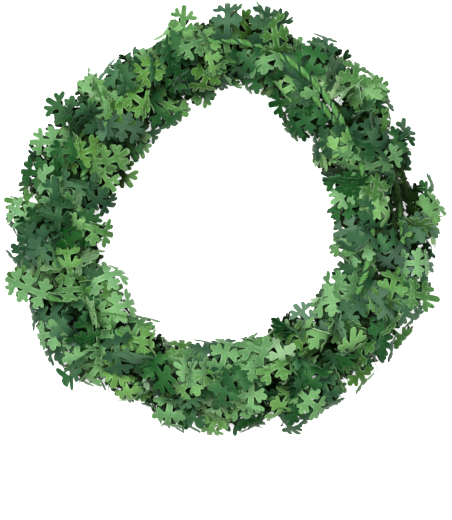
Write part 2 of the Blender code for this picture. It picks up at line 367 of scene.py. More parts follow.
class NodeGroup:
    """A shader node group under construction."""

    def __init__(self, name: str, inputs: dict, outputs: dict) -> None:
        """Makes the group with its sockets.

        Args:
            name: Its name.
            inputs: For each input its kind, which is Float, Vector or Color, and its own value or None.
            outputs: The kind of each output.
        """
        self.tree = bpy.data.node_groups.new(name, "ShaderNodeTree")
        for socket, (kind, value) in inputs.items():
            made = self.tree.interface.new_socket(socket, in_out="INPUT", socket_type=f"NodeSocket{kind}")
            if value is not None:
                made.default_value = value
        for socket, kind in outputs.items():
            self.tree.interface.new_socket(socket, in_out="OUTPUT", socket_type=f"NodeSocket{kind}")
        self.given = self.tree.nodes.new("NodeGroupInput").outputs
        self.end = self.tree.nodes.new("NodeGroupOutput")

    def give(self, **outputs: Socket) -> Tree:
        """Feeds the group's outputs, and returns its tree."""
        for socket, source in outputs.items():
            self.tree.links.new(source, self.end.inputs[socket])
        return self.tree


def node(tree: Tree, kind: str, inputs: dict | None = None, **settings: object) -> object:
    """A shader node.

    Args:
        tree: Where it goes.
        kind: Its type, without the leading ShaderNode.
        inputs: For each input, by name or number, a value or the output that feeds it.
        **settings: The node's own settings.

    Returns:
        The node's outputs.
    """
    made = tree.nodes.new(f"ShaderNode{kind}")
    for name, value in settings.items():
        setattr(made, name, value)
    for name, value in (inputs or {}).items():
        if isinstance(value, Socket):
            tree.links.new(value, made.inputs[name])
        else:
            made.inputs[name].default_value = value
    return made.outputs


def calc(tree: Tree, operation: str, *values: object) -> Socket:
    """The output of a Math node, given its values or the outputs that feed it."""
    return node(tree, "Math", dict(enumerate(values)), operation=operation)[0]


def mixed(tree: Tree, share: object, first: object, second: object) -> Socket:
    """The colour between two colours, at a share from 0 to 1."""
    return node(tree, "Mix", {0: share, 6: first, 7: second}, data_type="RGBA")[2]


def noise(tree: Tree, place: object, scale: float, detail: float = 3.0) -> Socket:
    """The value of a noise texture, from 0 to 1."""
    return node(tree, "TexNoise", {"Vector": place, "Scale": scale, "Detail": detail})["Fac"]


def marked(tree: Tree, name: str) -> tuple:
    """A mark of the piece's points, as a vector and as its three numbers."""
    vector = node(tree, "Attribute", attribute_name=name)["Vector"]
    return vector, *node(tree, "SeparateXYZ", {0: vector})


def opaque(colour: tuple) -> tuple:
    """A colour with its alpha."""
    return (*colour, 1.0)


def ranged(tree: Tree, value: object, spread: float, least: float) -> Socket:
    """A value from 0 to 1, spread over a range that starts at the least."""
    return calc(tree, "MULTIPLY_ADD", value, spread, least)


def soft_step(tree: Tree, value: object, first: object, last: object) -> Socket:
    """A soft step from 0 where a value is at its first to 1 where it is at its last."""
    return node(tree, "MapRange", {0: value, 1: first, 2: last}, interpolation_type="SMOOTHSTEP")[0]


def new_material(name: str) -> tuple:
    """A new material, its node tree and its Principled shader's inputs."""
    made = bpy.data.materials.new(name)
    made.use_nodes = True
    return made, made.node_tree, made.node_tree.nodes["Principled BSDF"].inputs


class SharedEffects:
    """The node groups that several finishes use, each built once."""

    def __init__(self) -> None:
        """Builds the groups."""
        self.weave, self.dye = self.make_weave(), self.make_dye()
        self.edge, self.depth = self.make_edge(), self.make_painted_shade()

    @staticmethod
    def make_weave() -> Tree:
        """A plain weave, from a place on the fabric in mm: its height, its gaps and its threads' shades."""
        group = NodeGroup(
            "fabric_weave",
            {"Place": ("Vector", None), "Pitch": ("Float", 0.8), "Unevenness": ("Float", 0.25)},
            {"Height": "Float", "Gaps": "Float", "Threads": "Float"},
        )
        tree, given = group.tree, group.given
        drift = node(tree, "TexNoise", {"Vector": given["Place"], "Scale": 0.6, "Detail": 3.0})["Color"]
        drift = node(tree, "VectorMath", {0: drift, 3: given["Unevenness"]}, operation="SCALE")[0]
        axes = node(tree, "SeparateXYZ", {0: node(tree, "VectorMath", {0: given["Place"], 1: drift})[0]})
        around = calc(tree, "DIVIDE", FULL_TURN, given["Pitch"])
        waves = [calc(tree, "SINE", calc(tree, "MULTIPLY", axes[axis], around)) for axis in (0, 1)]
        warp, weft = (calc(tree, "MULTIPLY_ADD", wave, 0.5, 0.5) for wave in waves)
        crossing = calc(tree, "MULTIPLY", *waves)
        height = calc(tree, "MULTIPLY_ADD", crossing, 0.35, calc(tree, "MAXIMUM", warp, weft))
        gaps = calc(tree, "MULTIPLY", calc(tree, "SUBTRACT", 1.0, warp), calc(tree, "SUBTRACT", 1.0, weft))
        strands = []
        for stretch in ((1.5, 0.1, 1.0), (0.1, 1.5, 1.0)):
            place = node(tree, "VectorMath", {0: given["Place"], 1: stretch}, operation="MULTIPLY")[0]
            strands.append(noise(tree, place, 1.0, 2.0))
        threads = calc(tree, "MULTIPLY_ADD", strands[0], 0.6, calc(tree, "MULTIPLY", strands[1], 0.4))
        return group.give(Height=height, Gaps=gaps, Threads=threads)

    @staticmethod
    def make_dye() -> Tree:
        """Dye that took unevenly: a colour, lighter or darker and yellower or bluer from leaf to leaf.

        The light and the bluish leaves are greyer too, as fabric is where less dye took.
        """
        inputs = {
            "Dye": ("Color", PLAIN_GREEN),
            "Leaf": ("Float", 0.5),
            "Shade": ("Float", 0.5),
            "Place": ("Vector", None),
            "Threads": ("Float", 0.5),
            "Amount": ("Float", 0.3),
            "Hues": ("Float", 0.04),
        }
        group = NodeGroup("uneven_dye", inputs, {"Colour": "Color"})
        tree, given = group.tree, group.given
        cloud = ranged(tree, noise(tree, given["Place"], 0.16, 4.0), 0.6, -0.3)
        leaf = calc(tree, "SUBTRACT", given["Leaf"], 0.5)
        streaks = ranged(tree, given["Threads"], 1.3, -0.65)
        uneven = calc(tree, "ADD", calc(tree, "ADD", leaf, cloud), streaks)
        value = calc(tree, "MULTIPLY_ADD", uneven, given["Amount"], 1.0)
        hue = calc(tree, "MULTIPLY_ADD", calc(tree, "SUBTRACT", given["Shade"], 0.5), given["Hues"], 0.5)
        strong = calc(tree, "MULTIPLY_ADD", leaf, -0.2, ranged(tree, given["Shade"], -0.3, 1.14))
        dyed = {"Hue": hue, "Saturation": strong, "Value": value, "Color": given["Dye"]}
        dyed = node(tree, "HueSaturation", dyed)[0]
        return group.give(Colour=dyed)

    @staticmethod
    def make_edge() -> Tree:
        """The paler line where the shears went through the dyed fabric. On the twisted ribbons it lies along
        the folds, and there it is partly a painted highlight.
        """
        inputs = {
            "Body": ("Color", PLAIN_GREEN),
            "Fibre": ("Color", (0.5, 0.7, 0.4, 1)),
            "Rim": ("Float", 0.0),
            "Start": ("Float", 0.1),
            "Strength": ("Float", 0.5),
            "Place": ("Vector", None),
        }
        group = NodeGroup("cut_edge", inputs, {"Colour": "Color"})
        tree, given = group.tree, group.given
        ragged = ranged(tree, noise(tree, given["Place"], 0.9, 2.0), 0.2, -0.1)
        near = soft_step(tree, calc(tree, "ADD", given["Rim"], ragged), given["Start"], 1.0)
        mask = calc(tree, "MULTIPLY", near, given["Strength"])
        return group.give(Colour=mixed(tree, mask, given["Body"], given["Fibre"]))

    @staticmethod
    def make_painted_shade() -> Tree:
        """Painted shade: a near-black green laid over what lies deep in the bundle, where little light gets
        in between the leaves.
        """
        inputs = {"Body": ("Color", PLAIN_GREEN), "Depth": ("Float", 0.0), "Strength": ("Float", 0.94)}
        group = NodeGroup("painted_deep_shade", inputs, {"Colour": "Color"})
        tree, given = group.tree, group.given
        # Painted shade: the deeper a place lies, the more its colour goes to this near-black green.
        share = calc(tree, "MULTIPLY", soft_step(tree, given["Depth"], 0.13, 0.83), given["Strength"])
        return group.give(Colour=mixed(tree, share, given["Body"], opaque((0.0032, 0.0098, 0.0006))))


@dataclass(frozen=True, kw_only=True)
class Fabric:
    """A dyed, woven fabric: what the leaves and the twisted middles of the ribbons have in common."""

    name: str
    fibre: tuple
    pitch_mm: float = 0.8
    uneven: float = 0.8
    edge: float = 0.4
    relief: float = 0.35
    relief_mm: float = 0.06
    gloss: float = 0.2
    gloss_tint: tuple = (0.62, 1.0, 0.5)
    sheen: float = 0.03

    def weave(self, tree: Tree, effects: SharedEffects, place: object) -> object:
        """The outputs of the weave at each place of the fabric."""
        return node(tree, "Group", {"Place": place, "Pitch": self.pitch_mm}, node_tree=effects.weave)

    def dress(
        self,
        tree: Tree,
        shader: object,
        effects: SharedEffects,
        *,
        dye: dict,
        rim: Socket,
        depth: Socket,
        rough: Socket,
        height: Socket,
    ) -> None:
        """Feeds the shader with the fabric's colour and its painted shade, roughness and relief, and sets
        its gloss.

        Args:
            tree: The material's nodes.
            shader: The shader's inputs.
            effects: The shared node groups.
            dye: What the group for the dye is given, apart from how uneven it is.
            rim: How near each place is to a cut or folded edge.
            depth: How deep it lies in the foliage.
            rough: How rough it is.
            height: How high the weave stands.
        """
        uneven = {**dye, "Amount": self.uneven}
        dyed = node(tree, "Group", uneven, node_tree=effects.dye)["Colour"]
        edge = {"Body": dyed, "Rim": rim, "Place": dye["Place"]}
        edge |= {"Fibre": opaque(self.fibre), "Strength": self.edge}
        edged = node(tree, "Group", edge, node_tree=effects.edge)["Colour"]
        # Painted shade: the colour darkens where the fabric lies deep among the leaves.
        colour = node(tree, "Group", {"Body": edged, "Depth": depth}, node_tree=effects.depth)["Colour"]
        relief = {"Height": height, "Strength": self.relief, "Distance": self.relief_mm * MM}
        tree.links.new(colour, shader["Base Color"])
        tree.links.new(rough, shader["Roughness"])
        tree.links.new(node(tree, "Bump", relief)[0], shader["Normal"])
        shader["Specular IOR Level"].default_value = self.gloss
        shader["Specular Tint"].default_value = opaque(self.gloss_tint)
        shader["Sheen Weight"].default_value = self.sheen


@dataclass(frozen=True, kw_only=True)
class LeafFabric(Fabric):
    """The stiffened fabric that leaves are cut from: dyed and pressed in front, with a pale woven back."""

    front: tuple
    reverse: tuple
    hues: float = 0.04
    gap_shade: float = 0.35
    roughness: tuple = (0.38, 0.62)
    reverse_roughness: float = 0.2
    sheen_roughness: float = 0.4
    sheen_tint: tuple = (0.7, 0.95, 0.65)

    def material(self, effects: SharedEffects) -> Material:
        """The material of pieces cut from this fabric.

        Args:
            effects: The shared node groups.

        Returns:
            The material. It reads the marks leaf_place and leaf_marks, and the mark that sets its painted
            shade.
        """
        made, tree, shader = new_material(self.name)
        place, _, _, shade = marked(tree, "leaf_place")
        _, rim, reverse, leaf = marked(tree, "leaf_marks")
        weave = self.weave(tree, effects, place)
        body = mixed(tree, reverse, opaque(self.front), opaque(self.reverse))
        gaps = calc(tree, "MULTIPLY", weave["Gaps"], ranged(tree, reverse, 0.35, 0.25))
        woven = mixed(tree, gaps, body, opaque(tuple(self.gap_shade * c for c in self.front)))
        dye = {"Dye": woven, "Leaf": leaf, "Shade": shade, "Place": place, "Hues": self.hues}
        dye["Threads"] = weave["Threads"]
        least, most = self.roughness
        rough = ranged(tree, noise(tree, place, 0.35, 4.0), most - least, least)
        rough = calc(tree, "MULTIPLY_ADD", reverse, self.reverse_roughness, rough)
        # How deep each place lies, which sets the painted shade.
        depth = marked(tree, "leaf_shade_depth")[1]
        self.dress(tree, shader, effects, dye=dye, rim=rim, depth=depth, rough=rough, height=weave["Height"])
        shader["Sheen Roughness"].default_value = self.sheen_roughness
        shader["Sheen Tint"].default_value = opaque(self.sheen_tint)
        return made


@dataclass(frozen=True, kw_only=True)
class TwistedRibbon(Fabric):
    """The two ribbons of the core: the light one bulges, and the dark one lies in the grooves."""

    light: tuple
    dark: tuple
    roughness: tuple = (0.47, 0.77)

    def material(self, effects: SharedEffects) -> Material:
        """The material of the core.

        Args:
            effects: The shared node groups.

        Returns:
            The material. It reads the marks twist_place and twist_marks.
        """
        made, tree, shader = new_material(self.name)
        place, _, _, _ = marked(tree, "twist_place")
        # The third twist mark is how deep each place lies, which sets its painted shade.
        _, groove, fold_and_highlight, deep = marked(tree, "twist_marks")
        in_groove = node(tree, "MapRange", {0: groove, 1: 0.35, 2: 0.65})[0]
        body = mixed(tree, in_groove, opaque(self.light), opaque(self.dark))
        weave = self.weave(tree, effects, place)
        body = mixed(tree, calc(tree, "MULTIPLY", weave["Gaps"], 0.3), body, opaque(self.dark))
        dye = {"Dye": body, "Leaf": noise(tree, place, 0.2), "Place": place}
        least, most = self.roughness
        rough = ranged(tree, noise(tree, place, 0.5), most - least, least)
        # Along the folds a paler line, partly the fibre and partly a painted highlight; deep places get
        # painted shade.
        self.dress(tree, shader, effects, dye=dye, rim=fold_and_highlight, depth=deep, rough=rough, height=weave["Height"])
        return made


@dataclass(frozen=True)
class DrawnWire:
    """Dull steel wire, with the fine lines that the die leaves along it."""

    name: str
    colour: tuple = (0.20, 0.21, 0.20)
    dull: float = 0.6
    relief: float = 0.3
    relief_mm: float = 0.02

    def material(self) -> Material:
        """The material. It reads the mark twist_place."""
        made, tree, shader = new_material(self.name)
        place, _, _, _ = marked(tree, "twist_place")
        lines = node(tree, "VectorMath", {0: place, 1: (8.0, 0.15, 8.0)}, operation="MULTIPLY")[0]
        streaks = noise(tree, lines, 2.0, 5.0)
        dull = tuple(self.dull * c for c in self.colour)
        tree.links.new(mixed(tree, streaks, opaque(dull), opaque(self.colour)), shader["Base Color"])
        tree.links.new(ranged(tree, streaks, 0.3, 0.3), shader["Roughness"])
        relief = {"Height": streaks, "Strength": self.relief, "Distance": self.relief_mm * MM}
        tree.links.new(node(tree, "Bump", relief)[0], shader["Normal"])
        shader["Metallic"].default_value = 1.0
        return made


# --------------------------------------------------------------------------------------------------------
# The core
# --------------------------------------------------------------------------------------------------------


@dataclass
class TwistedCore:
    """The two ribbons twisted round the wire, and the wire inside them."""

    strand: Strand
    pitch_mm: float = 7.4
    wire_radius_mm: float = 0.35
    wire_stub_mm: float = 2.5
    bulge_mm: tuple = (1.5, 1.58, 1.5, 1.6, 1.5, 1.54, 1.4, 1.22, 0.98, 1.08, 1.08, 1.28)
    groove: tuple = (0.0, 0.0, 0.0, 0.0, 0.0, 0.0, 0.0, 0.1, 1.0, 1.0, 1.0, 0.2)
    # Where the twist folds: a paler line, partly the fibre and partly a painted highlight.
    fold_and_highlight: tuple = (0.3, 0.0, 0.0, 0.0, 0.0, 0.1, 0.3, 0.9, 0.2, 0.0, 0.3, 0.9)
    crinkle: float = 0.07
    crinkle_limits: tuple = (0.86, 1.1)
    ripple: tuple = (0.06, 1.7, 7.0)
    sways: tuple = ((0.8, 11.0), (0.45, 4.3))
    wire_sides: int = 6
    wire_every: int = 3
    seed: int = 5

    def build(self, ribbon: Material, wire: Material, cover: "Cover") -> bpy.types.Object:
        """Args:
            ribbon: The twist's finish.
            wire: The wire's finish.
            cover: What lies over them.

        Returns:
            The twist.
        """
        core = self.twist(ribbon, cover)
        inner = self.wire(wire)
        return core

    def twist(self, material: Material, cover: "Cover") -> bpy.types.Object:
        """The twisted ribbons: a light one that bulges, and a dark one in the groove between its turns."""
        line, along = self.strand.points, self.strand.along / MM
        profile = np.tile(np.array(self.bulge_mm), (len(line), 1))
        sides = profile.shape[1]
        chance = np.random.default_rng(self.seed)
        crinkled = 1 + self.crinkle * chance.standard_normal(profile.shape)
        ripple, period, drift = self.ripple
        crinkled += ripple * np.sin(along / period + 2 * np.sin(along / drift))[:, None]
        spin = along / self.pitch_mm * FULL_TURN
        for size, period in self.sways:
            spin = spin + size * np.sin(along / period)
        points, faces = tube(line, profile * np.clip(crinkled, *self.crinkle_limits) * MM, spin)
        around = np.tile(np.arange(sides), len(line)) * FULL_TURN / sides
        flat = around * self.strand.route.sleeve_radius_mm
        place = np.stack([flat, np.repeat(along, sides), np.zeros(len(points))], 1)
        # The marks: the groove, the fold, and how deep each point lies, which sets the painted shade.
        marks = np.tile(np.stack([self.groove, self.fold_and_highlight], 1), (len(line), 1))
        marks = np.column_stack([marks, cover.depth(points)])
        parts = MeshParts()
        parts.add(points, faces, twist_place=place, twist_marks=marks)
        core = parts.piece("twisted_ribbons", material, corner=0.6)
        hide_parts("ribbon_sleeve")
        return core

    def wire(self, material: Material) -> bpy.types.Object:
        """The wire, which shows where it ends."""
        line, stub, sides = self.strand.points, self.wire_stub_mm * MM, self.wire_sides
        first = line[0] - unit(line[1] - line[0]) * stub
        last = line[-1] + unit(line[-1] - line[-2]) * stub
        line = np.array([first, *line[:: self.wire_every], last])
        points, faces = tube(line, np.full((len(line), sides), self.wire_radius_mm * MM))
        around = np.tile(np.arange(sides), len(line)) * FULL_TURN / sides
        place = np.stack([np.cos(around), np.repeat(run_lengths(line) / MM, sides), np.sin(around)], 1)
        parts = MeshParts()
        parts.add(points, faces, twist_place=place)
        wire = parts.piece("strand_wire", material)
        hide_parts("core_wire")
        return wire


# --------------------------------------------------------------------------------------------------------
# One leaf
# --------------------------------------------------------------------------------------------------------


@dataclass(frozen=True)
class LeafCut:
    """The outline of a leaf as the shears cut it, in mm: a strap with pairs of toothed lobes, and a tip.

    Each lobe is given by how far along the strap it stands, how far it leans towards the tip in degrees,
    and its size. A lobe's own outline runs from its lower to its upper side, as (out, along).
    """

    strap_half: float = 1.45
    root: float = -2.2
    tip: float = 23.6
    root_share: float = 0.93
    below_lobe: float = 1.7
    above_crown: float = 1.9
    above_heart: float = 2.3
    tip_round: tuple = ((1.0, 1.2), (0.78, 0.3), (0.3, 0.0))
    right: tuple = ((4.0, 6, 1.0), (11.2, 15, 1.0), (17.4, 32, 1.0))
    left: tuple = ((4.7, 8, 1.0), (11.8, 14, 0.97), (17.9, 34, 0.95))
    crown: tuple = (
        (1.75, -1.1),
        (3.1, -2.45),
        (4.3, -3.8),
        (5.3, -3.9),
        (5.8, -3.1),
        (5.3, -1.8),
        (7.0, -1.6),
        (7.9, -0.8),
        (7.85, 0.4),
        (7.0, 1.15),
        (5.5, 1.15),
        (6.0, 2.3),
        (5.4, 3.2),
        (4.4, 3.1),
        (2.9, 1.85),
        (1.8, 1.0),
    )
    heart: tuple = (
        (1.7, -1.0),
        (3.3, -2.3),
        (5.0, -3.1),
        (6.3, -3.0),
        (6.9, -2.1),
        (6.3, -1.2),
        (4.95, -0.4),
        (6.1, 0.7),
        (6.2, 1.7),
        (5.3, 2.4),
        (4.2, 2.0),
        (1.9, 0.7),
    )
    crown_middle: tuple = ((2.6, 0.0), (4.4, -2.0), (4.4, 1.7), (4.2, 0.0), (6.0, -0.2))
    heart_middle: tuple = ((2.8, -0.4), (4.4, -1.6), (4.2, 0.6), (5.7, -2.1), (5.2, 1.3))

    def lobe(self, place: tuple, points: tuple) -> list:
        """Points of a lobe, put where it stands on the strap's right side."""
        along, lean, size = place
        cosine, sine = math.cos(math.radians(lean)), math.sin(math.radians(lean))
        base = self.strap_half
        turned = []
        for out, up in points:
            out, up = (out - base) * size, up * size
            turned.append((base + out * cosine - up * sine, along + out * sine + up * cosine))
        return turned

    def half(self, lobes: tuple) -> list:
        """One side of the outline from the root to the tip, as if it were the right one."""
        side = self.strap_half
        corners = [(side * self.root_share, self.root)]
        for number, place in enumerate(lobes):
            last = number == len(lobes) - 1
            corners.append((side, place[0] - self.below_lobe))
            corners += self.lobe(place, self.heart if last else self.crown)
            corners.append((side, place[0] + (self.above_heart if last else self.above_crown)))
        return corners + [(side * share, self.tip - below) for share, below in self.tip_round]

    def outline(self) -> np.ndarray:
        """The whole outline."""
        return np.array(self.half(self.right) + [(-x, y) for x, y in reversed(self.half(self.left))])

    def middle(self) -> list:
        """Points inside the outline: along the strap's middle, and in each lobe."""
        inside = [(0.0, y) for y in np.arange(self.root + 0.9, self.tip - 1.0, 1.35)]
        for sign, lobes in ((1, self.right), (-1, self.left)):
            for number, place in enumerate(lobes):
                points = self.heart_middle if number == len(lobes) - 1 else self.crown_middle
                inside += [(sign * x, y) for x, y in self.lobe(place, points)]
        return inside


@dataclass
class LeafBlank:
    """A cut leaf that still lies flat: its points, triangles and rim."""

    cut: LeafCut
    rim_mm: float = 0.36
    least_gap_mm: float = 0.3
    sharpest: float = 0.7

    def __post_init__(self) -> None:
        """Divides the outline into triangles."""
        outline = self.cut.outline()
        inner = self.inner(outline) if self.rim_mm else self.cut.middle()
        flat = [Vector(p) for p in (*outline, *inner)]
        points, _, faces, origin, *_ = delaunay_2d_cdt(flat, [], [list(range(len(outline)))], 1, 1e-4)
        where = {first: i for i, sources in enumerate(origin) for first in sources}
        self.flat = np.array([tuple(p) for p in points])
        self.triangles = np.array([tuple(f) for f in faces])
        self.loop = np.array([where[i] for i in range(len(outline))])
        self.rim = np.zeros(len(points))
        self.rim[self.loop] = 1.0 if self.rim_mm else 0.4
        edges = self.flat[self.triangles]
        first, second = edges[:, 1] - edges[:, 0], edges[:, 2] - edges[:, 0]
        upside_down = first[:, 0] * second[:, 1] - first[:, 1] * second[:, 0] < 0
        self.triangles[upside_down] = self.triangles[upside_down][:, ::-1]
        self.triangle_list = self.triangles.tolist()

    def inner(self, outline: np.ndarray) -> list:
        """Points inside the outline: a line along it that ends its rim, and the middle of each part."""
        ways = []
        for way in (outline - np.roll(outline, 1, 0), np.roll(outline, -1, 0) - outline):
            ways.append(np.stack([-way[:, 1], way[:, 0]], 1) / np.linalg.norm(way, axis=1)[:, None])
        inward = ways[0] + ways[1]
        inward /= np.maximum((inward * ways[0]).sum(1), self.sharpest)[:, None]
        kept = []
        for point in (*self.cut.middle(), *(outline + inward * self.rim_mm)):
            gaps = [np.linalg.norm(np.subtract(point, other)) for other in kept[-2:] + kept[:49]]
            if min(gaps, default=1.0) > self.least_gap_mm:
                kept.append(point)
        return kept

    def faces(self) -> list:
        """The faces of the solid leaf: its upper side, its lower side and its rim."""
        count = len(self.flat)
        start, end = self.loop, np.roll(self.loop, -1)
        wall = np.stack([start + count, end + count, end, start], 1)
        return [self.triangles, self.triangles[:, ::-1] + count, wall]


@dataclass(frozen=True)
class LeafShape:
    """How a leaf is bent, in degrees and mm.

    curl bends it along its length and twist winds it. cup bends both its sides, and lobes bends each
    of its lobes on the right and then on the left. crease folds it across at a place along the strap,
    askew by crease_skew.
    """

    curl: float = 20.0
    twist: float = 0.0
    cup: float = 0.0
    lobes: tuple = (0.0,) * 6
    crease: float = 0.0
    crease_at: float = 12.0
    crease_skew: float = 0.0

    @staticmethod
    def random(chance: random.Random, wild: float = 1.0) -> "LeafShape":
        """The shape of one of the many leaves.

        Args:
            chance: Where its numbers come from.
            wild: How strongly it is bent, where 1 is usual.

        Returns:
            The shape.
        """
        lobes = []
        for _ in range(6):
            folded = chance.choice((-1, 1)) * chance.uniform(50, 130) if chance.random() < 0.22 * wild else 0
            lobes.append(chance.gauss(0, 20 * wild) + folded)
        creased = chance.random() < 0.3 * wild
        return LeafShape(
            curl=chance.gauss(24, 32) * wild,
            twist=chance.gauss(0, 34) * wild,
            cup=chance.gauss(0, 20) * wild,
            lobes=tuple(lobes),
            crease=chance.choice((-1, 1)) * chance.uniform(30, 95) if creased else 0.0,
            crease_at=chance.uniform(5, 18),
            crease_skew=chance.uniform(-35, 35),
        )


@dataclass
class LeafBender:
    """Bends a flat leaf into its shape."""

    blank: LeafBlank
    hinge_mm: float = 1.7
    hinge_width_mm: float = 1.6
    crease_width_mm: float = 0.9
    cup_reach_mm: float = 8.0
    slices: int = 12
    nudge_mm: float = 0.05

    def bent(self, shape: LeafShape) -> tuple[np.ndarray, np.ndarray]:
        """The leaf's middle surface.

        Args:
            shape: How it is bent.

        Returns:
            Its points in mm, with the strap along +Y and its face to +Z, and its normals there.
        """
        flat, nudge = self.blank.flat, self.nudge_mm
        moved = np.concatenate([flat, flat + (nudge, 0), flat + (0, nudge)])
        here, right, ahead = np.split(self.surface(moved, shape), 3)
        normals = np.cross(right - here, ahead - here)
        return here, normals / np.linalg.norm(normals, axis=1)[:, None]

    def surface(self, flat: np.ndarray, shape: LeafShape) -> np.ndarray:
        """The places of points of the flat leaf, once it is bent."""
        x, y = flat[:, 0], flat[:, 1]
        cup, lobe = math.radians(shape.cup) / self.cup_reach_mm, self.lobe_angle(x, y, shape)
        out, lift = np.zeros(len(x)), np.zeros(len(x))
        for part in (np.arange(self.slices) + 0.5) / self.slices:
            reach = np.abs(x) * part
            slope = cup * reach + lobe * smoothstep((reach - self.hinge_mm) / self.hinge_width_mm)
            out += np.cos(slope) * x / self.slices
            lift += np.sin(slope) * np.abs(x) / self.slices
        if shape.crease:
            out, y, lift = self.creased(out, y, lift, shape)
        return self.curled(out, y, lift, shape)

    def creased(self, out: np.ndarray, y: np.ndarray, lift: np.ndarray, shape: LeafShape) -> tuple:
        """The points, with what lies beyond the crease folded over on a small round."""
        skew, angle = math.radians(shape.crease_skew), math.radians(shape.crease)
        across, width = (math.sin(skew), math.cos(skew)), self.crease_width_mm
        past = np.maximum(out * across[0] + (y - shape.crease_at) * across[1], 0)
        on_round, beyond = np.minimum(past, width), np.maximum(past - width, 0)
        tilt = angle * on_round / width
        ahead = width / angle * np.sin(tilt) + beyond * np.cos(tilt) - lift * np.sin(tilt)
        rise = width / angle * (1 - np.cos(tilt)) + beyond * np.sin(tilt) + lift * np.cos(tilt)
        return out + (ahead - past) * across[0], y + (ahead - past) * across[1], rise

    @staticmethod
    def curled(out: np.ndarray, y: np.ndarray, lift: np.ndarray, shape: LeafShape) -> np.ndarray:
        """The points, with the leaf wound about its strap and bent along its length."""
        steps = np.arange(-30, 30.5, 0.5)
        slope = math.radians(-shape.curl) * (steps.clip(-5, 23) + 2) / 25
        ways = np.cos(slope), np.sin(slope)
        run, rise = (np.concatenate([[0], np.cumsum((way[1:] + way[:-1]) / 4)]) for way in ways)
        run, rise = run - np.interp(0, steps, run), rise - np.interp(0, steps, rise)
        winding = math.radians(shape.twist) * y / 22
        side = out * np.cos(winding) - lift * np.sin(winding)
        height = out * np.sin(winding) + lift * np.cos(winding)
        theta = np.interp(y, steps, slope)
        ahead = np.interp(y, steps, run) - height * np.sin(theta)
        return np.stack([side, ahead, np.interp(y, steps, rise) + height * np.cos(theta)], 1)

    def lobe_angle(self, x: np.ndarray, y: np.ndarray, shape: LeafShape) -> np.ndarray:
        """By how much the lobe that each point belongs to is bent, in radians."""
        bend = np.zeros(len(x))
        for start, lobes, side in ((0, self.blank.cut.right, x >= 0), (3, self.blank.cut.left, x < 0)):
            places = [place[0] for place in lobes]
            limits = [-99.0, *((a + b) / 2 for a, b in zip(places, places[1:])), 99.0]
            for number, (low, high) in enumerate(zip(limits, limits[1:])):
                bend[side & (y >= low) & (y < high)] = math.radians(shape.lobes[start + number])
        return bend


@dataclass
class Leaf:
    """A leaf in its place: its middle surface, and what its finish needs to know."""

    tone: Tone
    along: float
    blank: LeafBlank
    points: np.ndarray
    normals: np.ndarray
    mirrored: bool
    turned_over: bool
    leaf: float
    shade: float
    thickness_mm: float = 0.26
    apart_mm: float = 40.0

    def __post_init__(self) -> None:
        """Finds the leaf's box, and its surface for finding what meets it."""
        self.low, self.high = self.points.min(0), self.points.max(0)
        self.surface = BVHTree.FromPolygons(self.points.tolist(), self.blank.triangle_list)

    def samples(self) -> np.ndarray:
        """Points all over the leaf."""
        return np.concatenate([self.points, self.points[self.blank.triangles].mean(1)])

    def meets(self, other: "Leaf") -> int:
        """In how many places the leaf goes through another one."""
        return len(self.surface.overlap(other.surface))

    def add_to(self, parts: MeshParts, cover: "Cover") -> None:
        """Adds the solid leaf to a piece."""
        half = self.normals * (self.thickness_mm / 2 * MM)
        points = np.concatenate([self.points + half, self.points - half])
        count = len(self.points)
        shift = self.apart_mm * self.leaf, self.apart_mm * self.shade
        place = np.column_stack([self.blank.flat + shift, np.full(count, self.shade)])
        back = np.repeat([1.0, 0.0] if self.turned_over else [0.0, 1.0], count)
        marks = np.stack([np.tile(self.blank.rim, 2), back, np.full(2 * count, self.leaf)], 1)
        faces = self.blank.faces()
        if self.mirrored:
            faces = [rows[:, ::-1] for rows in faces]
        # How deep each point lies in the foliage, which sets its painted shade.
        depth = np.tile(cover.depth(self.points)[:, None], (2, 3))
        parts.add(points, faces, leaf_place=np.tile(place, (2, 1)), leaf_marks=marks, leaf_shade_depth=depth)


@dataclass
class Thread:
    """A loose thread of a ribbon's edge, with its ends in mm (right, up) of the ring's centre."""

    strand: Strand
    tone: Tone
    start: tuple
    end: tuple
    height_mm: float = 18.0
    radius_mm: float = 0.14
    sag_mm: float = 6.0
    bow: float = 0.12
    knots: int = 13
    sides: int = 5

    def __post_init__(self) -> None:
        """Finds where it grows."""
        self.along = self.strand.along[self.strand.nearest(self.strand.spot(*self.start, self.height_mm))]

    def add_to(self, parts: MeshParts, cover: "Cover") -> None:
        """Adds the thread to a piece."""
        start = self.strand.points[self.strand.index(self.along)]
        end = self.strand.spot(*self.end, self.height_mm)
        share = np.linspace(0, 1, self.knots)[:, None]
        side = np.cross(unit(end - start), UP) * np.linalg.norm(end - start) * self.bow
        line = start + (end - start) * share + side * np.sin(share * math.pi * 1.3)
        line = line - UP * (self.sag_mm * MM) * share**2
        points, faces = tube(line, np.full((len(line), self.sides), self.radius_mm * MM))
        place = np.column_stack([points[:, :2] / MM, np.full(len(points), 0.6)])
        marks = np.tile((0.5, 0.3, 0.5), (len(points), 1))
        # How deep each point lies in the foliage, which sets its painted shade.
        depth = np.tile(cover.depth(points)[:, None], (1, 3))
        parts.add(points, faces, leaf_place=place, leaf_marks=marks, leaf_shade_depth=depth)


# --------------------------------------------------------------------------------------------------------
# All leaves
# --------------------------------------------------------------------------------------------------------


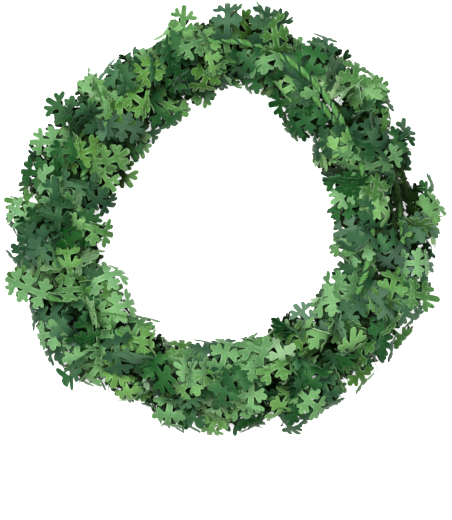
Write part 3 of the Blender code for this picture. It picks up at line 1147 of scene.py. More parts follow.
@dataclass(frozen=True)
class Reach:
    """How far leaves may reach, in mm: outward from the ring's radius, and up from the floor."""

    inner: float = -25.0
    outer: float = 21.5
    low: float = 0.35
    high: float = 35.5
    softness: float = 0.7

    def pressed(self, points: np.ndarray) -> np.ndarray:
        """Points, with those below the floor or above the top pressed flat."""
        soft, height = self.softness, points[:, 2] / MM
        height = self.low + soft * np.logaddexp(0, (height - self.low) / soft)
        height = self.high - 2 * soft * np.logaddexp(0, (self.high - height) / (2 * soft))
        return np.column_stack([points[:, :2], height * MM])


def disc(radius: float, cell: float) -> np.ndarray:
    """Points all over a level disc, with at least one in each cell of a grid."""
    steps = np.arange(-radius, radius + cell, cell / 1.5)
    x, y = (axis.ravel() for axis in np.meshgrid(steps, steps))
    return np.stack([x, y, 0 * x], 1)[x**2 + y**2 <= radius**2]


@dataclass
class HeightMap:
    """A height over each spot about the ring's centre."""

    centre: np.ndarray
    cell: float = 0.6 * MM
    first: float = 1.0
    half: float = 0.13

    def __post_init__(self) -> None:
        """Starts with the same height everywhere."""
        side = round(2 * self.half / self.cell)
        self.heights = np.full((side, side), self.first)

    def cells(self, points: np.ndarray) -> tuple[np.ndarray, np.ndarray]:
        """The rows and columns of the cells that points lie over."""
        places = (points[:, :2] - self.centre[:2] + self.half) / self.cell
        rows = places.astype(int).clip(0, len(self.heights) - 1)
        return rows[:, 0], rows[:, 1]


@dataclass
class Ceiling(HeightMap):
    """How high leaves may stand over each spot, so that what lies there stays in sight."""

    def lower(self, points: np.ndarray, gap: float) -> None:
        """Keeps leaves so far below each of the points."""
        np.minimum.at(self.heights, self.cells(points), points[:, 2] - gap)

    def clear(self, spot: np.ndarray, radius: float) -> None:
        """Keeps leaves below a spot all over a disc."""
        self.lower(disc(radius, self.cell) + spot, 0.0)

    def above(self, points: np.ndarray) -> int:
        """How many of the points stand above the ceiling."""
        return int((points[:, 2] > self.heights[self.cells(points)]).sum())


@dataclass
class Cover(HeightMap):
    """How high the foliage stands over each spot, evened out. What lies deep below it gets painted shade."""

    cell: float = 1.0 * MM
    first: float = 0.0
    blur: int = 5
    full: float = 110.0
    deepest: float = 13.5 * MM

    def add(self, points: np.ndarray) -> None:
        """Raises it to points of the foliage."""
        np.maximum.at(self.heights, self.cells(points), points[:, 2])

    def even_out(self) -> None:
        """Takes the mean of what lies around each spot, and how closed it is there."""
        grids, steps = ((self.heights > 0).astype(float), self.heights), range(-self.blur, self.blur + 1)
        for axis in (0, 1):
            grids = [sum(np.roll(grid, step, axis) for step in steps) for grid in grids]
        covered, heights = grids
        self.heights = heights / np.maximum(covered, 1)
        # Where the foliage is open, the painted shade is weaker.
        self.closed = (covered / self.full).clip(0, 1) ** 2

    def depth(self, points: np.ndarray) -> np.ndarray:
        """How deep below it points lie, where 1 is deepest, and less where the foliage is open: the share of
        painted shade.
        """
        cells = self.cells(points)
        return ((self.heights[cells] - points[:, 2]) / self.deepest).clip(0, 1) * self.closed[cells]


@dataclass(frozen=True)
class Hero:
    """A leaf that stands out, seen from above, in mm from the ring's centre.

    Its root is where it leaves the strand, and its end is where its tip is. lift is how far its tip stands
    above its root, and roll by how many degrees it leans over to its right. Of a leaf that is over, the
    reverse is up.
    """

    tone: Tone
    root_x: float
    root_y: float
    end_x: float
    end_y: float
    lift: float = 3.0
    roll: float = 0.0
    over: bool = False


@dataclass(frozen=True)
class Patch:
    """A round part of the ring where most leaves are of one tone.

    angle says in degrees where round the ring its middle lies, and out how far out from the ring's radius
    in mm. reach is its radius in mm.
    """

    angle: float
    out: float
    reach: float
    tone: Tone


@dataclass(frozen=True)
class Narrow:
    """A part of the ring where leaves reach less far outward and inward, in mm; below 0 is further."""

    angle: float
    width: float
    outer_by: float
    inner_by: float

    def share(self, angle: float) -> float:
        """How fully it holds at an angle: 1 in its middle, and less towards its ends."""
        return math.exp(-((apart(angle, self.angle) / self.width) ** 2))


@dataclass(frozen=True)
class OpenStretch:
    """A stretch of strand that stays in sight.

    It runs from the start's to the end's angle in degrees. The strand's middle is higher than low there,
    and lies from inner to outer mm out from the ring's radius.
    """

    start: float
    end: float
    low: float
    inner: float
    outer: float


@dataclass(frozen=True)
class Hollow:
    """A round spot without high leaves, at (right, up) of the ring's centre, in mm. What lies in it gets
    painted shade.
    """

    right: float
    up: float
    height: float
    radius: float


LIGHT, DARK = Tone.LIGHT, Tone.DARK
UPPER_LEFT = (
    Hero(LIGHT, -20.6, 80.5, -18.8, 101.4, 6),
    Hero(LIGHT, -8, 84, -13.5, 100, 3, 65),
    Hero(LIGHT, -8.5, 87, -4.5, 65.5, 4),
    Hero(LIGHT, -6, 77, -3, 58.5, 1),
    Hero(LIGHT, -32.5, 76, -42, 68.5, 6),
    Hero(LIGHT, -32, 66, -37.5, 80),
    Hero(DARK, -14, 79, -27, 72, 4, -20),
    Hero(DARK, -24, 69, -9, 61),
    Hero(LIGHT, -47.5, 60.3, -26.5, 50, 1),
    Hero(LIGHT, -50, 58, -46.3, 43.5, -3),
    Hero(LIGHT, -52, 52, -68, 65, 5),
    Hero(DARK, -66, 44.5, -82.5, 57.5, 4),
    Hero(DARK, -62, 43, -70.5, 57.5, 5, -30),
    Hero(LIGHT, -71, 38, -92.5, 36.5, 3),
    Hero(LIGHT, -82, 30, -82.3, 47, 0, 30),
    Hero(LIGHT, -65.5, 38, -84, 29, 4, 0, True),
    Hero(LIGHT, -73, 30, -57, 36.5, 4),
    Hero(DARK, -65, 50, -47.5, 38, 4),
    Hero(DARK, -50, 44, -40, 25, -4),
    Hero(DARK, -50, 42, -30, 35.5, -3, 20),
    Hero(DARK, -56, 43.5, -36.5, 42, 1, 0, True),
    Hero(LIGHT, -66.2, 7, -67, 27, 4),
    Hero(LIGHT, -79, 5, -80.5, 25.5, 4),
    Hero(DARK, -80.5, -8, -81.5, 10.5, 6),
    Hero(LIGHT, -84, -6, -94, 13, 0, 25),
    Hero(LIGHT, -84, 4, -103.4, 11.5, -4),
    Hero(DARK, -76, 20, -95, 23, 0),
    Hero(LIGHT, -48.5, 34, -46.5, 15, -6, 25),
    Hero(DARK, -60, 14, -54.5, -1, -3, 30),
    Hero(LIGHT, -17, 80, -28, 87.5, -2),
    Hero(DARK, -26, 78, -35, 85, -4, 70),
    Hero(DARK, -34, 66, -51.5, 72.5, -2, 30),
    Hero(DARK, -42, 60, -56.5, 67.5, -1),
    Hero(DARK, -36, 56, -28, 41, -4),
    Hero(LIGHT, -34, 55, -17.5, 46.5, -5, 20),
    Hero(LIGHT, -32, 66, -20, 58, 0),
    Hero(DARK, -26, 62, -13, 50, -4, 75),
    Hero(DARK, -74, 16, -60, 12, 2, 0, True),
    Hero(DARK, -68, 30, -74, 45, 1, 30),
    Hero(DARK, -88, 14, -98.5, 4, -5),
    Hero(DARK, -46, 70, -37, 60, 1, 20),
    Hero(LIGHT, -58, 28, -52, 12, 0, 30),
    Hero(DARK, -10, 72, -18, 84, 2, 40, True),
)
UPPER_RIGHT = (
    Hero(LIGHT, 61, 41, 51.6, 24.2, 2),
    Hero(LIGHT, 54, 34, 43.5, 16.4, -3),
    Hero(DARK, 1, 80, 2.5, 98.7),
    Hero(LIGHT, 3, 78, 0, 93.5, 3),
    Hero(LIGHT, 10, 84, 14.5, 100, -2, 55),
    Hero(DARK, 15, 78, 17.2, 98),
    Hero(DARK, 18, 80, 28, 97, 3, 0, True),
    Hero(LIGHT, 22.2, 75.8, 18.3, 92, 5),
    Hero(LIGHT, 26, 76, 10, 83.5, 1, 20),
    Hero(LIGHT, 36, 77, 29.5, 90, 0, 45),
    Hero(DARK, 36, 74, 53, 77.3, -4, 60),
    Hero(DARK, 37, 68, 41, 83, -4),
    Hero(DARK, 33, 68, 26, 79.5, 1),
    Hero(DARK, 33, 65, 37.5, 80, 2, 0, True),
    Hero(DARK, 32, 66, 41.5, 75.5, 2, 30),
    Hero(LIGHT, 42, 56, 43, 74.3, -1),
    Hero(LIGHT, 52, 60, 37, 68, 0, 0, True),
    Hero(LIGHT, 54.5, 56.5, 47.5, 72.5, 2),
    Hero(LIGHT, 56, 55, 60, 70, 3),
    Hero(LIGHT, 58, 52, 66, 66.5, 0),
    Hero(LIGHT, 57, 56.5, 77, 62.3, -1, 30),
    Hero(DARK, 58, 52, 77.7, 57.2, -4),
    Hero(LIGHT, 53, 55.6, 74.5, 53.5, 3, 40),
    Hero(DARK, 68, 34.5, 87, 39.7, 2),
    Hero(LIGHT, 62, 46, 74.5, 49.5, -2),
    Hero(DARK, 60, 40, 73, 43, -2, 20),
    Hero(DARK, 58, 38, 71.5, 41.5, 0),
    Hero(LIGHT, 57, 37, 44.3, 35, 0),
    Hero(LIGHT, 55, 40, 37, 31, -5),
    Hero(LIGHT, 54, 43, 38.2, 42, 2),
    Hero(DARK, 42, 55.6, 20.5, 54.5, -2),
    Hero(DARK, 44, 52, 26.5, 42.5, -4),
    Hero(DARK, 46, 47, 27.5, 38, -5),
    Hero(LIGHT, 44, 50, 25.8, 44.5, -8),
    Hero(DARK, 54, 40, 39, 36.5, -3),
    Hero(DARK, 16, 77, 4.5, 70.5, -3),
    Hero(DARK, 22, 72, 10, 58.5, -5),
    Hero(LIGHT, 34, 65, 23.5, 60, -5),
    Hero(DARK, 38, 61, 29, 56, -5, 0, True),
    Hero(DARK, 62, 6.5, 43.5, 7, -5),
    Hero(LIGHT, 60, 18, 52.5, 12, -5, 20),
    Hero(LIGHT, 73, 4, 67, 22, 4),
    Hero(LIGHT, 72, 0, 78, 14, 2, 0, True),
    Hero(DARK, 66, -2, 60, 15, 1),
    Hero(LIGHT, 84, 2, 93.5, 13.5, 0),
    Hero(DARK, 80, 12, 93.5, 22, -4, 30),
    Hero(DARK, 78, 18, 92, 27, -6, 20),
    Hero(LIGHT, 86, 0, 97.5, 8.5, 2),
    Hero(LIGHT, 84, -3, 98.3, 3, 0),
    Hero(DARK, 86, 6, 101, 16.5, -5, 40),
    Hero(LIGHT, 70, 27, 85, 29, 1),
    Hero(DARK, 70, 35, 72.5, 21.5, 2, 0, True),
    Hero(DARK, 60, 38, 69.5, 29, 1),
    Hero(DARK, 66, -6, 65, 12, 5),
    Hero(DARK, 76, -2, 61.5, 2.5, 4),
    Hero(LIGHT, 64, 11, 73.5, 1.5, 3),
)
LOWER_LEFT = (
    Hero(LIGHT, -7, -71, -27, -72, 6),
    Hero(LIGHT, -24, -72, -22.5, -55.5, 1),
    Hero(LIGHT, -69, 0, -51.5, -7.5, 0),
    Hero(DARK, -84, -3, -101.5, 0, -3),
    Hero(DARK, -84, -12, -99, -10, -3),
    Hero(DARK, -74, -9, -91.5, -16, 4),
    Hero(DARK, -76, -10, -93, -5.5, 2, 30),
    Hero(LIGHT, -84, -18, -100.5, -15.5, -3, 0, True),
    Hero(LIGHT, -78.8, -32.4, -101.4, -26.2, 1),
    Hero(LIGHT, -62, -32, -79, -30.5, 4, 25),
    Hero(DARK, -60, -34, -59.8, -14.5, 6),
    Hero(LIGHT, -63, -20, -63.2, -2.8, 3),
    Hero(LIGHT, -63, -27, -72.2, -9.5, 5),
    Hero(LIGHT, -76, -22, -78.5, -9.5, 2, 50),
    Hero(DARK, -55, -36, -67, -34, 4),
    Hero(LIGHT, -60, -30, -48.5, -20.5, -4),
    Hero(LIGHT, -61, -35, -45.5, -27.5, -3),
    Hero(LIGHT, -58, -41, -44.5, -33.5, -4),
    Hero(LIGHT, -51, -52, -50.8, -34, 1),
    Hero(DARK, -75, -42, -91, -44.5, -3),
    Hero(DARK, -66, -50, -78.7, -42.5, 4),
    Hero(LIGHT, -58, -37, -70, -42, 3),
    Hero(DARK, -61, -61, -60.5, -41.5, 4),
    Hero(LIGHT, -68, -48, -86.5, -52, 0),
    Hero(LIGHT, -67, -49, -79.8, -62, 2, 50),
    Hero(DARK, -70, -53, -86, -60, -4),
    Hero(LIGHT, -66, -53, -74.5, -67, -3),
    Hero(DARK, -60, -56, -67.5, -72, -3),
    Hero(LIGHT, -56, -58, -61, -72.5, -4),
    Hero(LIGHT, -60, -60, -68, -76.5, -9),
    Hero(DARK, -52, -56, -53, -70.5, 2),
    Hero(DARK, -40, -62, -49.5, -48.5, 3),
    Hero(LIGHT, -47, -58, -43.5, -44, -4),
    Hero(DARK, -35, -66, -41, -57.5, 3, 0, True),
    Hero(DARK, -28, -58, -41.5, -68.5, 3),
    Hero(DARK, -38, -60, -26, -67.5, 2),
    Hero(LIGHT, -48, -64, -45.5, -79, 0),
    Hero(LIGHT, -37, -62, -40.5, -78, 2),
    Hero(LIGHT, -9, -71, -17.3, -81.8, 3),
    Hero(LIGHT, -4, -78, -9.5, -63, 2),
    Hero(LIGHT, -4, -73, -2.5, -55.5, -4),
    Hero(DARK, -19, -72, -17.5, -57, -4, 50),
    Hero(DARK, -12, -72, -13.5, -56, -4),
    Hero(DARK, 4, -76, -8, -82, 3),
    Hero(LIGHT, -1.5, -80, -14, -95.8, 0),
    Hero(LIGHT, -13, -80, -15.2, -98.6, -4, 50),
    Hero(LIGHT, -27, -75, -26.8, -91, 0),
    Hero(DARK, -12, -79, -23.5, -88.5, 0, 25),
    Hero(DARK, -22, -78, -31.5, -90, -4),
    Hero(DARK, -17, -80, -21.5, -95, -4),
    Hero(DARK, -42, -69, -56.5, -81, -4),
    Hero(DARK, -46, -64, -57, -72.5, -3),
    Hero(LIGHT, -16, -80, -29.8, -77, 3),
    Hero(LIGHT, -2, -79, -13.5, -84.5, 2, 0, True),
    Hero(DARK, -65, -13, -77, -5, 4),
    Hero(LIGHT, -68, -2, -57, 2.5, -2, 20),
    Hero(DARK, -68, -60, -73.5, -68.5, -6, 60),
)
LOWER_RIGHT = (
    Hero(LIGHT, 56, -30, 39, -35, -1),
    Hero(LIGHT, 73, -8, 61, -6, 4, 15),
    Hero(LIGHT, 21, -70.5, 3, -63.5, 5, 30),
    Hero(LIGHT, 63, -49, 62.5, -63.5, 3),
    Hero(LIGHT, 46, -60, 30, -51.5, 3),
    Hero(DARK, 80, -9, 65, -14.5, 4, 0, True),
    Hero(LIGHT, 66, -8, 45.5, -11, -3),
    Hero(DARK, 66, -2, 49.5, -4.5, -1, 0, True),
    Hero(DARK, 70, -7, 57, -14.5, 2),
    Hero(LIGHT, 66, -12, 53.5, -16, -4),
    Hero(DARK, 75, -5, 94.5, -8.7, 3),
    Hero(DARK, 68, -16, 80.5, -12, 4, 20),
    Hero(LIGHT, 74, -4, 83, -13, 4, 65),
    Hero(LIGHT, 78, -17, 95.3, -19.8, 0),
    Hero(LIGHT, 87, -36, 83.5, -19.5, 2),
    Hero(LIGHT, 77, -28, 92.5, -28.5, 1),
    Hero(LIGHT, 79, -34, 63, -30.2, 4, 35),
    Hero(LIGHT, 76, -37, 79.3, -24, 3, -20),
    Hero(LIGHT, 69.5, -31, 73, -47.5, 4),
    Hero(DARK, 75, -34.5, 94.5, -35.6, 0),
    Hero(DARK, 65, -28, 50, -21.5, -1),
    Hero(DARK, 66, -23, 54.5, -31, 0),
    Hero(LIGHT, 58, -28, 46, -25.5, -4),
    Hero(DARK, 60, -37, 48.5, -31.5, 0, 15),
    Hero(DARK, 50, -46, 62.5, -33, 5),
    Hero(DARK, 44, -51, 30.5, -34.8, -2, 0, True),
    Hero(DARK, 42, -54, 28.5, -46, -4),
    Hero(LIGHT, 28, -62, 15, -49.8, -4),
    Hero(LIGHT, 17, -68, 11, -52, -4),
    Hero(LIGHT, 26, -70, 19, -58.5, 1, 0, True),
    Hero(LIGHT, 52, -56, 39.5, -47, 2),
    Hero(DARK, 50, -60, 38.5, -52.5, 4, 0, True),
    Hero(LIGHT, 58, -55, 49.5, -43.5, 3),
    Hero(DARK, 57, -47, 41.5, -41.5, -2, 0, True),
    Hero(DARK, 62, -57, 45, -64.5, 5),
    Hero(DARK, 50, -73, 50, -54.5, 4),
    Hero(DARK, 49, -57, 50.8, -73.5, 1),
    Hero(LIGHT, 28, -70, 18.5, -69, 4),
    Hero(DARK, 35, -82, 27, -70, 5),
    Hero(DARK, 28, -70, 43, -69.5, 5, 20),
    Hero(LIGHT, 32, -73, 46.3, -82.5, 3),
    Hero(LIGHT, 13, -76, 2.5, -90, 3),
    Hero(LIGHT, 28, -75, 21.5, -89, 2),
    Hero(LIGHT, 34, -80, 20.5, -76.5, 3),
    Hero(LIGHT, 14, -76, 13.7, -91, -1),
    Hero(DARK, 61, -51, 72, -60, 0),
    Hero(LIGHT, 75, -47, 76, -64.6, -3, 60),
    Hero(LIGHT, 73, -42, 82.5, -54.5, -4),
    Hero(LIGHT, 57, -61, 64.5, -77, -4),
    Hero(DARK, 57, -64, 69.5, -71.3, -6, 75),
    Hero(DARK, 51, -59, 61, -70.5, -2),
    Hero(DARK, 42, -70, 49.5, -85.2, -3),
    Hero(DARK, 33, -75, 36.5, -92.3, -4),
    Hero(DARK, 36, -75, 44.3, -88.5, -4),
    Hero(DARK, 24, -80, 23, -99.5, -7, 50),
    Hero(DARK, 27, -78, 26.5, -96.5, -6, 60),
    Hero(DARK, 8, -80, 13.5, -95, -4),
    Hero(DARK, 1, -80, 9.5, -98.5, -5, 40),
    Hero(DARK, 4, -80, -2, -96, -3),
    Hero(DARK, 2, -66, 0.7, -51.5, -4),
    Hero(LIGHT, 4, -72, -3, -59.5, 0),
    Hero(DARK, 31, -66, 21.5, -62, 3),
    Hero(DARK, 37, -67, 30.5, -57.5, 3),
    Hero(DARK, 45, -67.5, 35, -59, 5),
    Hero(LIGHT, 28, -68, 26, -50, -3, 55),
    Hero(LIGHT, 55, -60, 56.5, -46.5, 5, 20),
    Hero(LIGHT, 66, -40, 60, -49.5, 4),
    Hero(DARK, 64, -31, 64, -46, 4, 40, True),
    Hero(DARK, 67, -42, 73.5, -56.5, 2),
    Hero(DARK, 72, -36, 82.3, -48.7, 0, 0, True),
    Hero(DARK, 75, -35, 85, -43.5, 0),
    Hero(DARK, 83, -24, 96.5, -26.3, -4, 50, True),
    Hero(DARK, 13, -72, 1, -76, 4),
    Hero(DARK, 20, -78, 8, -72, 3),
)


PATCHES = (
    Patch(10, 6, 10, DARK),
    Patch(2, 4, 16, DARK),
    Patch(332, 2, 16, DARK),
    Patch(345, 16, 13, DARK),
    Patch(345, -4, 10, LIGHT),
    Patch(291, 0, 9, LIGHT),
    Patch(315, 13, 12, DARK),
    Patch(32, 12, 14, DARK),
    Patch(52, 0, 13, DARK),
    Patch(272, 13, 12, DARK),
    Patch(116, 11, 15, DARK),
    Patch(165, -10, 14, DARK),
    Patch(150, 0, 8, LIGHT),
    Patch(182, 0, 10, DARK),
    Patch(66, 14, 14, LIGHT),
    Patch(76, 4, 9, LIGHT),
    Patch(243, -2, 11, LIGHT),
    Patch(300, -12, 12, LIGHT),
    Patch(242, -10, 13, LIGHT),
    Patch(195, -12, 10, LIGHT),
    Patch(257, -13, 12, LIGHT),
    Patch(122, 0, 10, LIGHT),
    Patch(137, 13, 10, LIGHT),
)

NARROWS = (
    Narrow(112, 20, 8.5, 0.0),
    Narrow(55, 18, 5.0, 0.0),
    Narrow(84, 18, 0.0, 7.5),
    Narrow(240, 17, 5.5, 4.0),
    Narrow(330, 12, 3.0, 0.0),
    Narrow(272, 9, 0.0, 4.0),
    Narrow(289, 9, 0.0, -5.0),
    Narrow(178, 22, 0.0, -3.0),
    Narrow(2, 24, 0.0, -4.0),
    Narrow(7, 13, -4.0, 0.0),
    Narrow(48, 12, 0.0, -3.5),
    Narrow(140, 14, 0.0, -2.0),
    Narrow(122, 7, 4.0, 0.0),
)

OPEN_STRETCHES = (
    OpenStretch(35, 89, 20, -30, 50),
    OpenStretch(34, 52, 12, -30, 0),
    OpenStretch(334, 356, 20, -30, 50),
    OpenStretch(199, 209, 19.5, -6, 13),
)

HOLLOWS = (Hollow(82.5, 19, 12, 5), Hollow(83, 13, 12, 5), Hollow(82, 7, 12, 4.5))

THREADS = (
    (DARK, (-43, 73), (-42.5, 80)),
    (LIGHT, (87, 21), (94, 15)),
    (DARK, (98, 14), (103.5, 13.7)),
    (LIGHT, (88, 34), (94, 29)),
    (DARK, (74, -58), (71, -72.4)),
    (DARK, (60, -73), (59.5, -79)),
    (DARK, (55, -75), (53, -83)),
    (DARK, (-68, -71), (-71, -77)),
    (DARK, (-52, -73), (-55.5, -78)),
    (LIGHT, (86, -21), (96, -24)),
    (DARK, (24, -90), (21, -100)),
)


@dataclass(frozen=True)
class Costs:
    """What the faults of a leaf's place cost, where 1 is one place in which it goes through another leaf."""

    outside: float = 0.1
    pressed: float = 0.2
    pressed_mm: float = 0.8
    ceiling: float = 4.0
    canopy: float = 0.1
    most_crossings: int = 14


@dataclass(frozen=True)
class BedHabit:
    """How the low leaves grow: where along the strand, and with what slope and roll in degrees."""

    count: int = 130
    tries: int = 4
    inward_mm: float = 11.0
    share: tuple = (0.02, 0.5)
    slope: tuple = (-12.0, 8.0)
    roll: float = 25.0
    wild: float = 0.6


@dataclass(frozen=True)
class HeroHabit:
    """How the leaves that stand out grow, with spreads in mm and degrees."""

    tries: int = 14
    worst: float = 500.0
    inward_mm: float = -8.0
    length_mm: float = 23.5
    root_height_mm: float = 26.0
    root_mm: float = 1.4
    end_share: float = 0.6
    lift_mm: float = 1.2
    roll: float = 14.0
    straightest: float = 0.995
    edge_mm: float = 15.0
    calm: float = 0.4
    loose: float = 0.75


@dataclass(frozen=True)
class CommonHabit:
    """How the many leaves grow: facing up and away from the bundle, with spreads in degrees."""

    count: int = 620
    tries: int = 7
    worst: float = 45.0
    inward_mm: float = 2.5
    underside: float = -0.3
    hang: float = -0.7
    away: float = 0.7
    tilt: float = 36.0
    outward: float = 0.9
    climb: tuple = (8.0, 16.0)
    over: float = 0.25


def bow_of(straight: float) -> float:
    """The angle in radians that an arc bends through, when its chord is such a share of its length."""
    return math.sqrt(24 * (1 - straight)) * (1 + 0.06 * (1 - straight))


@dataclass
class Foliage:
    """All leaves of the garland, in one piece for each sprig."""

    strand: Strand
    heroes: tuple = UPPER_LEFT + UPPER_RIGHT + LOWER_LEFT + LOWER_RIGHT
    open_stretches: tuple = OPEN_STRETCHES
    hollows: tuple = HOLLOWS
    narrows: tuple = NARROWS
    patches: tuple = PATCHES
    costs: Costs = Costs()
    bed: BedHabit = BedHabit()
    hero: HeroHabit = HeroHabit()
    common: CommonHabit = CommonHabit()
    sizes: tuple = (0.86, 1.02)
    hollow_shade_top_mm: float = 34.0
    near_mm: float = 10.0
    own_mm: float = 11.5
    patch_trust: float = 0.85
    contrast: float = 0.4
    sprig_count: int = 50
    seed: int = 11
    reach: Reach = field(default_factory=Reach)

    def __post_init__(self) -> None:
        """Readies the blanks and the ceiling."""
        cuts = (
            LeafCut(),
            LeafCut(
                right=((4.4, 9, 0.96), (11.7, 17, 1.02), (17.6, 36, 0.97)),
                left=((4.2, 4, 1.0), (11.4, 18, 1.0), (17.3, 33, 1.0)),
                tip=23.0,
            ),
            LeafCut(
                right=((3.9, 3, 1.03), (11.0, 12, 0.97), (17.1, 28, 1.02)),
                left=((4.5, 8, 0.97), (12.0, 15, 1.02), (18.0, 33, 0.98)),
                tip=23.8,
            ),
        )
        self.benders = [LeafBender(LeafBlank(cut)) for cut in cuts]
        self.bed_benders = [LeafBender(LeafBlank(cut, 0.0)) for cut in cuts]
        self.chance = random.Random(self.seed)
        self.leaves = []
        self.boxes = np.zeros((self.bed.count + self.common.count + len(self.heroes), 2, 3))
        self.ceiling, self.canopy = Ceiling(self.strand.centre), Ceiling(self.strand.centre)
        for hollow in self.hollows:
            spot = self.strand.spot(hollow.right, hollow.up, hollow.height)
            self.ceiling.clear(spot, hollow.radius * MM)
        for stretch in self.open_stretches:
            self.keep_open(stretch)

    def keep_open(self, stretch: OpenStretch) -> None:
        """Keeps leaves from above a stretch of strand."""
        flat = self.strand.points - self.strand.centre
        angles = np.degrees(np.arctan2(flat[:, 1], flat[:, 0])) % 360
        inside = (angles - stretch.start) % 360 <= (stretch.end - stretch.start) % 360
        across = self.strand.across(self.strand.points)
        inside &= self.strand.points[:, 2] / MM > stretch.low
        inside &= (across > stretch.inner) & (across < stretch.outer)
        for point in self.strand.points[inside][::2]:
            self.ceiling.clear(point - (0, 0, 0.3 * MM), 1.8 * MM)

    def placed(self, tone: Tone, along: float, pose: tuple, shape: LeafShape, over: bool = False) -> Leaf:
        """A leaf, bent and put in its place.

        Args:
            tone: Which ribbon it is cut from.
            along: How far along the strand it grows.
            pose: Its base, its direction and the direction it faces.
            shape: How it is bent.
            over: Whether its reverse is up.

        Returns:
            The leaf.
        """
        base, ahead, face = pose
        full = len(self.leaves) > self.bed.count // 2
        bender = self.chance.choice(self.benders if full else self.bed_benders)
        mirrored = self.chance.random() < 0.5
        size = self.chance.uniform(*self.sizes)
        side = np.cross(ahead, face) * (-1 if mirrored else 1)
        axes = np.stack([side, ahead, face])
        flat, normals = bender.bent(shape)
        points = self.reach.pressed(base + flat @ axes * (size * MM))
        chances = self.chance.random(), self.chance.random()
        return Leaf(tone, along, bender.blank, points, normals @ axes, mirrored, over, *chances)

    def cost(self, leaf: Leaf, inward: float = 0.0) -> float:
        """How badly a leaf fits in with those that are there already.

        Args:
            leaf: The leaf.
            inward: By how much less it may reach to both sides, in mm.

        Returns:
            The cost, where 1 is one place in which it goes through another leaf.
        """
        samples = leaf.samples()
        across, flat = self.strand.across(samples), samples[0] - self.strand.centre
        angle = math.degrees(math.atan2(flat[1], flat[0]))
        outer, inner = self.reach.outer - inward, self.reach.inner + inward
        for narrow in self.narrows:
            share = narrow.share(angle)
            outer, inner = outer - narrow.outer_by * share, inner + narrow.inner_by * share
        outside = np.maximum(across - outer, 0) + np.maximum(inner - across, 0)
        costs = self.costs
        pressed = (samples[:, 2] < (self.reach.low + costs.pressed_mm) * MM).sum()
        total = costs.outside * outside.sum() + costs.pressed * pressed
        total += costs.ceiling * self.ceiling.above(samples) + costs.canopy * self.canopy.above(samples)
        boxes = self.boxes[: len(self.leaves)]
        near = (boxes[:, 0] < leaf.high).all(1) & (boxes[:, 1] > leaf.low).all(1)
        for number in np.flatnonzero(near):
            total += min(leaf.meets(self.leaves[number]), costs.most_crossings)
        return total

    def add(self, choices: list, worst: float = math.inf, inward: float = 0.0) -> bool:
        """Adds the leaf that fits in best, unless even that one fits in badly, and says whether it did."""
        costs = [self.cost(leaf, inward) for leaf in choices]
        if min(costs) >= worst:
            return False
        best = choices[costs.index(min(costs))]
        self.boxes[len(self.leaves)] = best.low, best.high
        self.leaves.append(best)
        return True

    def keep_in_sight(self, leaf: Leaf) -> None:
        """Keeps later leaves from above a leaf, apart from the part near its root."""
        samples = leaf.samples()
        root = self.strand.points[self.strand.index(leaf.along)]
        away = np.linalg.norm((samples - root)[:, :2], axis=1) > self.own_mm * MM
        self.canopy.lower(samples[away], 0.3 * MM)

    def tone_of(self, number: int, first: int, middles: np.ndarray) -> Tone:
        """The tone that a leaf is likely of: that of the patch it lies in, or one unlike those around it.

        Args:
            number: The leaf's number.
            first: The number of the first leaf that counts among those around it.
            middles: The middle of each leaf.

        Returns:
            The tone.
        """
        across, flat = float(self.strand.across(middles[number])), middles[number] - self.strand.centre
        angle = math.degrees(math.atan2(flat[1], flat[0]))
        for patch in self.patches:
            along = math.radians(apart(angle, patch.angle)) * self.strand.route.ring_radius_mm
            inside = math.hypot(along, across - patch.out) < patch.reach
            if inside and self.chance.random() < self.patch_trust:
                return patch.tone
        away = np.linalg.norm((middles[first:number] - middles[number])[:, :2], axis=1)
        weights = np.exp(-((away / (self.near_mm * MM)) ** 2))
        light = np.array([leaf.tone is Tone.LIGHT for leaf in self.leaves[first:number]])
        balance = (2 * weights[light].sum() - weights.sum()) / (weights.sum() + 0.01)
        return Tone.LIGHT if self.chance.random() < 0.5 - self.contrast * balance else Tone.DARK

    def shade_leaves(self, middles: np.ndarray) -> None:
        """Gives each leaf a shade unlike those of the leaves around it that are of the same tone."""
        for number, leaf in enumerate(self.leaves):
            away = np.linalg.norm((middles[:number] - middles[number])[:, :2], axis=1)
            near = [self.leaves[i] for i in np.flatnonzero(away < self.near_mm * MM)]
            around = [other.leaf for other in near if other.tone is leaf.tone]
            choices = [leaf.leaf, self.chance.random(), self.chance.random()]
            gaps = [min((abs(choice - other) for other in around), default=1) for choice in choices]
            leaf.leaf = choices[gaps.index(max(gaps))]

    def grow(self) -> None:
        """Puts all leaves on the strand: a bed of low ones, then those that stand out, then the many."""
        for _ in range(self.bed.count):
            along, tone = self.chance.uniform(*self.bed.share), self.chance.choice((DARK, DARK, LIGHT))
            leaves = [self.bed_leaf(tone, along * self.strand.length) for _ in range(self.bed.tries)]
            self.add(leaves, inward=self.bed.inward_mm)
        low = len(self.leaves)
        for hero in self.heroes:
            leaves = [self.hero_leaf(hero) for _ in range(self.hero.tries)]
            if self.add(leaves, self.hero.worst, self.hero.inward_mm):
                self.keep_in_sight(self.leaves[-1])
        tall = len(self.leaves)
        for number in range(self.common.count):
            along = (number + self.chance.random()) / self.common.count * self.strand.length
            leaves = [self.common_leaf(along) for _ in range(self.common.tries)]
            self.add(leaves, self.common.worst, self.common.inward_mm)
        middles = np.array([leaf.points.mean(0) for leaf in self.leaves])
        for number in range(tall, len(self.leaves)):
            self.leaves[number].tone = self.tone_of(number, low, middles)
        self.shade_leaves(middles)
        LOG.info("leaves: %d low, %d standing out, %d in all", low, tall - low, len(self.leaves))

    def cover(self) -> Cover:
        """How high the leaves stand, raised over the hollows so that what lies in them gets painted shade.
        """
        made = Cover(self.strand.centre)
        for leaf in self.leaves:
            made.add(leaf.samples())
